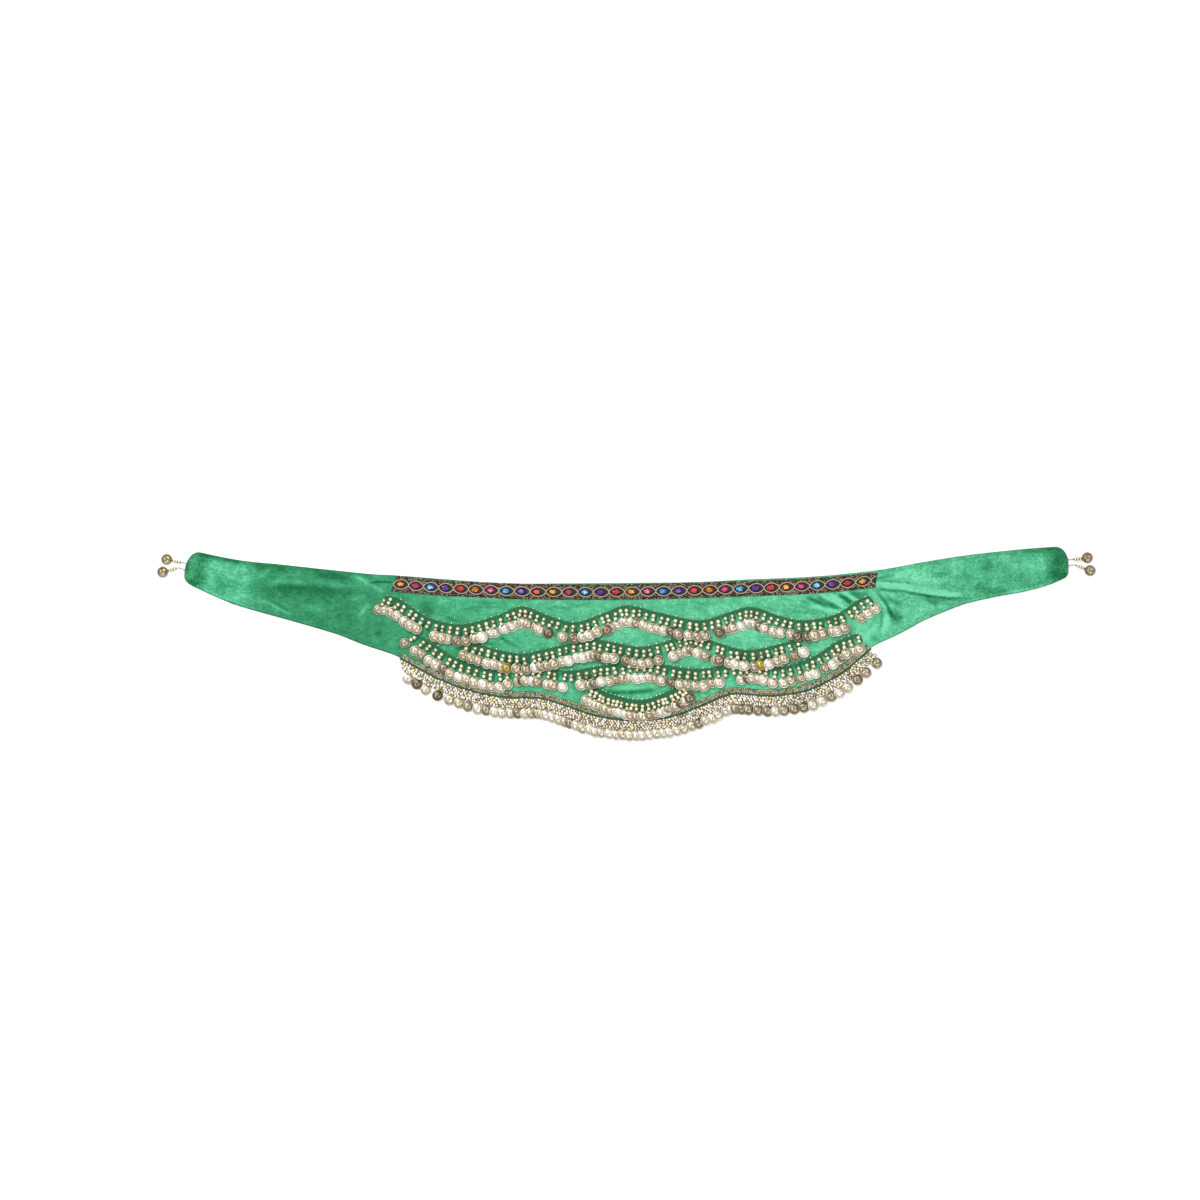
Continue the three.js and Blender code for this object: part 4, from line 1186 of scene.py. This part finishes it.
def heading_chain(number, total, laid):
    """Two strands that twist round the heading line, and a wavy one below them."""
    s = np.arange(0, total, 1.3)
    spots, down = drops_of(number, s)
    ground = ground_under(spots, laid)
    phase = 2 * np.pi * s / CHAIN_WAVE
    strands = [raised(spots + down * (sign * 0.8 * np.sin(phase))[:, None], ground + 1.1 + 0.5 * sign * np.cos(phase))
               for sign in (1, -1)]
    wave_down = 4.2 + 2.2 * np.sin(2 * np.pi * s / DROP_PITCH[number] * 2)
    strands.append(raised(spots + down * wave_down[:, None], ground + 1.0))
    return tubes(np.stack(strands), 0.62, 6)


def drop_threads(spots, down, heads, beads, grounds, laid):
    """Each drop's four legs from the heading to its beads, its stem, and a thick dark tube beside it as painted
    shade.
    """
    side = np.stack([-down[:, 1], down[:, 0]], 1)
    steps = np.linspace(0, 1, 5)[:, None]
    legs = []
    for target, share in ((0, 1.0), (1, 0.95)):
        for head in heads:
            start, end = raised(head, ground_under(head, laid) + 1.0), raised(beads[target], grounds[target] + 1.4)
            legs.append(start[:, None] + (end - start)[:, None] * steps * share)
    start = raised(spots, ground_under(spots, laid) + 1.2)
    middle = raised(beads[0], grounds[0] + 2.4)
    end = raised(beads[1] + down * 4.6, grounds[1] + 2.5)
    stems = np.concatenate([start[:, None] + (middle - start)[:, None] * steps[:-1],
                            middle[:, None] + (end - middle)[:, None] * steps], 1)
    # painted shade: a thick dark tube along one side of each drop, where a shade falls
    beside = []
    for depth, height in ((3.6, 1.0), (8.0, 1.6), (13.6, 1.4)):
        at = spots + down * depth + side * 4.1
        beside.append(raised(at, ground_under(at, laid) + height))
    return joined([tubes(np.concatenate(legs), 1.0, 6), tubes(stems, 1.3, 6), tubes(np.stack(beside, 1), 1.7, 6)])


def row_coins(number, s, laid):
    """A coin for most drops, shifted a little: some dull, some with a painted highlight, and two gilt ones in row 2.
    """
    *_, missing, shift = DROPS[number]
    kept = chance.random(len(s)) > missing
    kept[:3] = kept[-3:] = True
    count = kept.sum()
    coin_s = s[kept] + chance.normal(0, shift, count)
    heads, down = drops_of(number, coin_s)
    spots = heads + down * (COIN_DEPTH + chance.normal(0, 0.9, count))[:, None]
    roll = np.radians(chance.choice([7.5, 7.5, 7.5, 5.5], count) + chance.normal(0, 1.2, count))
    luck = chance.random(count)
    # a tone from 1.1 to 1.35, on one coin in ten, is a painted highlight
    tone = np.select([luck < 0.15, luck > 0.9], [chance.uniform(0.15, 0.4, count), chance.uniform(1.1, 1.35, count)],
                     chance.uniform(0.5, 0.95, count))
    gilt = np.zeros(count)
    for spot in GILT_SPOTS if number == 2 else ():
        nearest = np.linalg.norm(spots - spot, axis=1).argmin()
        gilt[nearest], tone[nearest] = 1.0, 0.8
    return laid_coins(spots, down, ground_under(spots, laid) + 1.2, chance.uniform(8.1, 9.1, count), roll, tone, gilt)


# %% The crocheted part, beads and coins of each row
def make_row(number, laid):
    """One draped row: chain, threads, tiny beads, gold beads and coins."""
    total, pitch = row_length(number), DROP_PITCH[number]
    first, spread, second, *_ = DROPS[number]
    s = np.arange(2.0, total - 1.0, pitch)
    count = len(s)
    s = s + chance.normal(0, 0.9, count)
    spots, down = drops_of(number, s)
    side = np.stack([-down[:, 1], down[:, 0]], 1)

    first_down = first + chance.normal(0, spread, count)
    second_down = first_down + second + chance.normal(0, 0.35, count)
    beads = [spots + down * depth[:, None] + side * sway[:, None]
             for depth, sway in zip((first_down, second_down), chance.normal(0, 0.6, (2, count)))]
    grounds = [ground_under(at, laid) for at in beads]
    radius = chance.uniform(3.0, 3.45, 2 * count)
    gold = scatter(ball, np.concatenate([raised(at, g + 2.9) for at, g in zip(beads, grounds)]),
                   np.eye(3) * radius[:, None, None], {"tone": chance.beta(3.4, 1.3, 2 * count)})

    heads = [drops_of(number, np.clip(s + sign * pitch * 0.45, 0, total))[0] for sign in (-1, 1)]
    crochet = [heading_chain(number, total, laid), drop_threads(spots, down, heads, beads, grounds, laid)]
    # the drop threads carry the painted shade: darker tones between and beside the beads
    for deep, shape in enumerate(crochet):
        shape.marks["deep"] = np.full(len(shape.points), float(deep))

    tiny_radius = chance.uniform(1.25, 1.5, count)
    tiny = scatter(seed, raised(spots - down * 1.6, ground_under(spots, laid) + 2.3),
                   np.eye(3) * tiny_radius[:, None, None], {"tone": chance.uniform(0.2, 1, count)})
    coins = row_coins(number, s, laid)

    node = f"swag_{number}"
    return [
        make_piece(f"{node}_crochet", joined(crochet), green_thread),
        make_piece(f"{node}_tiny_beads", tiny, clear_bead),
        make_piece(f"{node}_gold_beads", gold, gold_bead, [f"{node}_beads"]),
        make_piece(f"{node}_coin_drops", coins, coin_metal, [f"{node}_coins"]),
    ]


laid = []
for number in (4, 3, 2, 1):
    on_velvet += make_row(number, laid)
    laid.append(number)

# %% [markdown]
# ## The lower edge
#
# Four trims follow the lower edge outwards: a metallic braid on the velvet, a thin velvet piping
# in the seam, a net of gold and clear beads, and the coin fringe. All use one walk along the
# edge, which gives the edge point, the outward direction and the way the fringe hangs there.

# %% Walking the lower edge
edge_x = np.linspace(-352, 379, 1600)
edge_slope = (panel_bottom(edge_x + 2) - panel_bottom(edge_x - 2)) / 4
edge_points = np.stack([edge_x, panel_bottom(edge_x)], 1)
edge_out = np.stack([edge_slope, -np.ones_like(edge_x)], 1) / np.hypot(edge_slope, 1)[:, None]
near_start = np.exp((-358 - edge_x) / 55)[:, None]
near_end = clamped(1 - (380 - edge_x) / 34)
edge_hang = rotated(edge_out * (1 - near_start) + np.array([0.35, -0.94]) * near_start, np.radians(34) * near_end)
edge_hang = unit(edge_hang) * (1 + 0.2 * near_start)
PIPING_OUT = 3.7


def beyond_edge(x, out, z):
    """Points outside the velvet: square to its edge past the piping, then along the fringe's hang."""
    x, out = np.broadcast_arrays(x, out)

    def pick(rows):
        return np.stack([np.interp(x, edge_x, rows[:, k]) for k in range(2)], -1)

    square = np.minimum(out, PIPING_OUT)[..., None]
    flat = pick(edge_points) + pick(edge_out) * square + pick(edge_hang) * (out[..., None] - square)
    return np.concatenate([flat, np.broadcast_to(z, flat.shape[:-1])[..., None]], -1)


def even_x(first, last, pitch):
    """x of places along the edge, one pitch apart; the pitch is a number or rows of x and pitch."""
    x = np.linspace(first, last, 4000)
    here = np.interp(x, *pitch.T) if isinstance(pitch, np.ndarray) else pitch
    counted = np.cumsum(np.hypot(1, np.interp(x, edge_x, edge_slope)) * (x[1] - x[0]) / here)
    return np.interp(np.arange(0, counted[-1]), counted, x)


# %% Piping and braid
piping_path = beyond_edge(np.linspace(-350, 378, 420), 1.35, 1.35)
velvet_piping = thread_finish("velvet_piping", "0c3d28", "2a7a55")
piping = make_piece("edge_piping_cord", tubes(piping_path[None], 1.1, 10), velvet_piping,
                    ["edge_piping"])

BRAID_THREADS = np.array([dye(code) for code in (
    "e4d4ba c2dccc f6f3e0 dac264 9c9878 e6dfb8 ccae8c 92c0a8 7c7856").split()])
braid_out = np.array([-0.5, -0.9, -8.0, -8.4, -8.0, -0.9])
braid_z = np.array([2.9, 3.3, 3.3, 2.9, 2.35, 2.35])
braid_grid = beyond_edge(np.linspace(-349, 377, 400)[:, None], braid_out, braid_z)
base = swept(braid_grid[None, :, ::-1], {"colour": np.tile(dye("66643f"), (braid_grid[..., 0].size, 1))})
braid_x = even_x(-348, 376, 3.3)
block_row = np.tile(np.arange(3), len(braid_x))
block_x = np.repeat(braid_x, 3) + 1.1 * (block_row % 2)
block_out = -1.9 - 2.5 * block_row
block_spots = beyond_edge(block_x, block_out, 3.25)
block_ahead = unit(beyond_edge(block_x + 1, block_out, 0.0)[:, :2] - block_spots[:, :2])
block_ahead = rotated(block_ahead, np.radians(np.where(block_row % 2, -32, 32)))
block_colours = BRAID_THREADS[chance.integers(0, len(BRAID_THREADS), len(block_x))]
braid = make_piece(
    "edge_braid_band", joined([base, pillows(block_spots, block_ahead, (2.0, 1.2, 0.8), block_colours)]),
    woven_finish("braid_threads", 0.15, 0.25), ["edge_braid"])

# %% The bead net
NET_ROWS = 4
net_x = even_x(-345, 370, 4.6)
net_row = np.tile(np.arange(NET_ROWS), len(net_x))
net_column = np.repeat(np.arange(len(net_x)), NET_ROWS)
count = len(net_row)
net_at = np.repeat(net_x, NET_ROWS) + 2.3 * (net_row % 2) + chance.normal(0, 0.7, count)
net_out = 4.2 + 3.5 * net_row + chance.normal(0, 0.5, count)
net_points = beyond_edge(net_at, net_out, 2.5 + chance.uniform(0, 0.5, count))
net_hang = (beyond_edge(net_at, net_out + 1, 0.0) - beyond_edge(net_at, net_out, 0.0))[:, :2]
net_slant = raised(rotated(net_hang, np.radians(chance.normal(24, 10, count))), np.zeros(count))
golden = (net_column + net_row * 0.8 + chance.normal(0, 0.35, count)) % 4 < 2.3
gold_size = chance.uniform(2.0, 2.45, golden.sum())
clear = ~golden & (chance.random(count) < 0.84)
bugle_axes = np.stack([net_slant[clear] * 2.7, np.cross(UP, net_slant[clear]) * 1.55,
                       np.tile(UP * 1.55, (clear.sum(), 1))], axis=1)
net_gold_bead = bead_finish("net_gold_bead", "6e5622", "fdf1c2", 0.35, 0.18)
net_gold = make_piece("fringe_gold_beads", scatter(ball, net_points[golden], np.eye(3) * gold_size[:, None, None],
                      {"tone": chance.beta(2.5, 1.5, golden.sum())}), net_gold_bead, ["fringe_net"])
lilac_bead = bead_finish("lilac_bead", "b09a9c", "fffafb", 0.15, 0.15)
net_clear = make_piece("fringe_clear_beads", scatter(ball, net_points[clear], bugle_axes,
                       {"tone": chance.uniform(0.3, 1, clear.sum())}), lilac_bead)
mesh_x = even_x(-346, 372, 4.3)[:, None]
zigzag = np.array([0, 2.2, 0, -2.2, 0])
out_steps = np.array([3.2, 6.5, 10.0, 13.5, 17.0])
threads = [beyond_edge(mesh_x + sign * zigzag, out_steps, 1.1) for sign in (-1, 1)]
tan_thread = thread_finish("tan_thread", "52441f", "b9a878")
net_threads = make_piece("fringe_net_threads", tubes(np.concatenate(threads), 0.6, 5), tan_thread)

# %% The coin fringe
fringe_x = even_x(-338, 371.5, rows_of("-352 20 -270 19 -240 14 -190 11 -60 9.5 60 9.8 150 12 300 13.5 378 16"))
count = len(fringe_x)
fringe_x = fringe_x + chance.normal(0, 0.7, count)
fringe_spots = beyond_edge(fringe_x, 24.3 + chance.normal(0, 0.6, count), 0.0)[:, :2]
fringe_hang = unit(fringe_spots - beyond_edge(fringe_x, 12.0, 0.0)[:, :2])
dull = np.interp(fringe_x, [-340, -120, 120, 200, 380], [0.35, 0.08, 0.2, 0.6, 0.75])
fringe_tone = np.where(chance.random(count) < dull, chance.uniform(0.3, 0.6, count), chance.uniform(0.7, 1.1, count))
fringe_tone[:6] = [0.95, 0.2, 0.85, 0.15, 0.75, 0.7]
fringe_roll = np.radians(chance.uniform(6.0, 8.5, count))
fringe_coins = laid_coins(fringe_spots, fringe_hang, np.full(count, 2.1), chance.uniform(8.4, 9.2, count),
                          fringe_roll, fringe_tone)
fringe = make_piece("fringe_coin_drops", fringe_coins, coin_metal, ["fringe_coins"])

on_velvet += [piping, braid, net_gold, net_clear, net_threads, fringe]
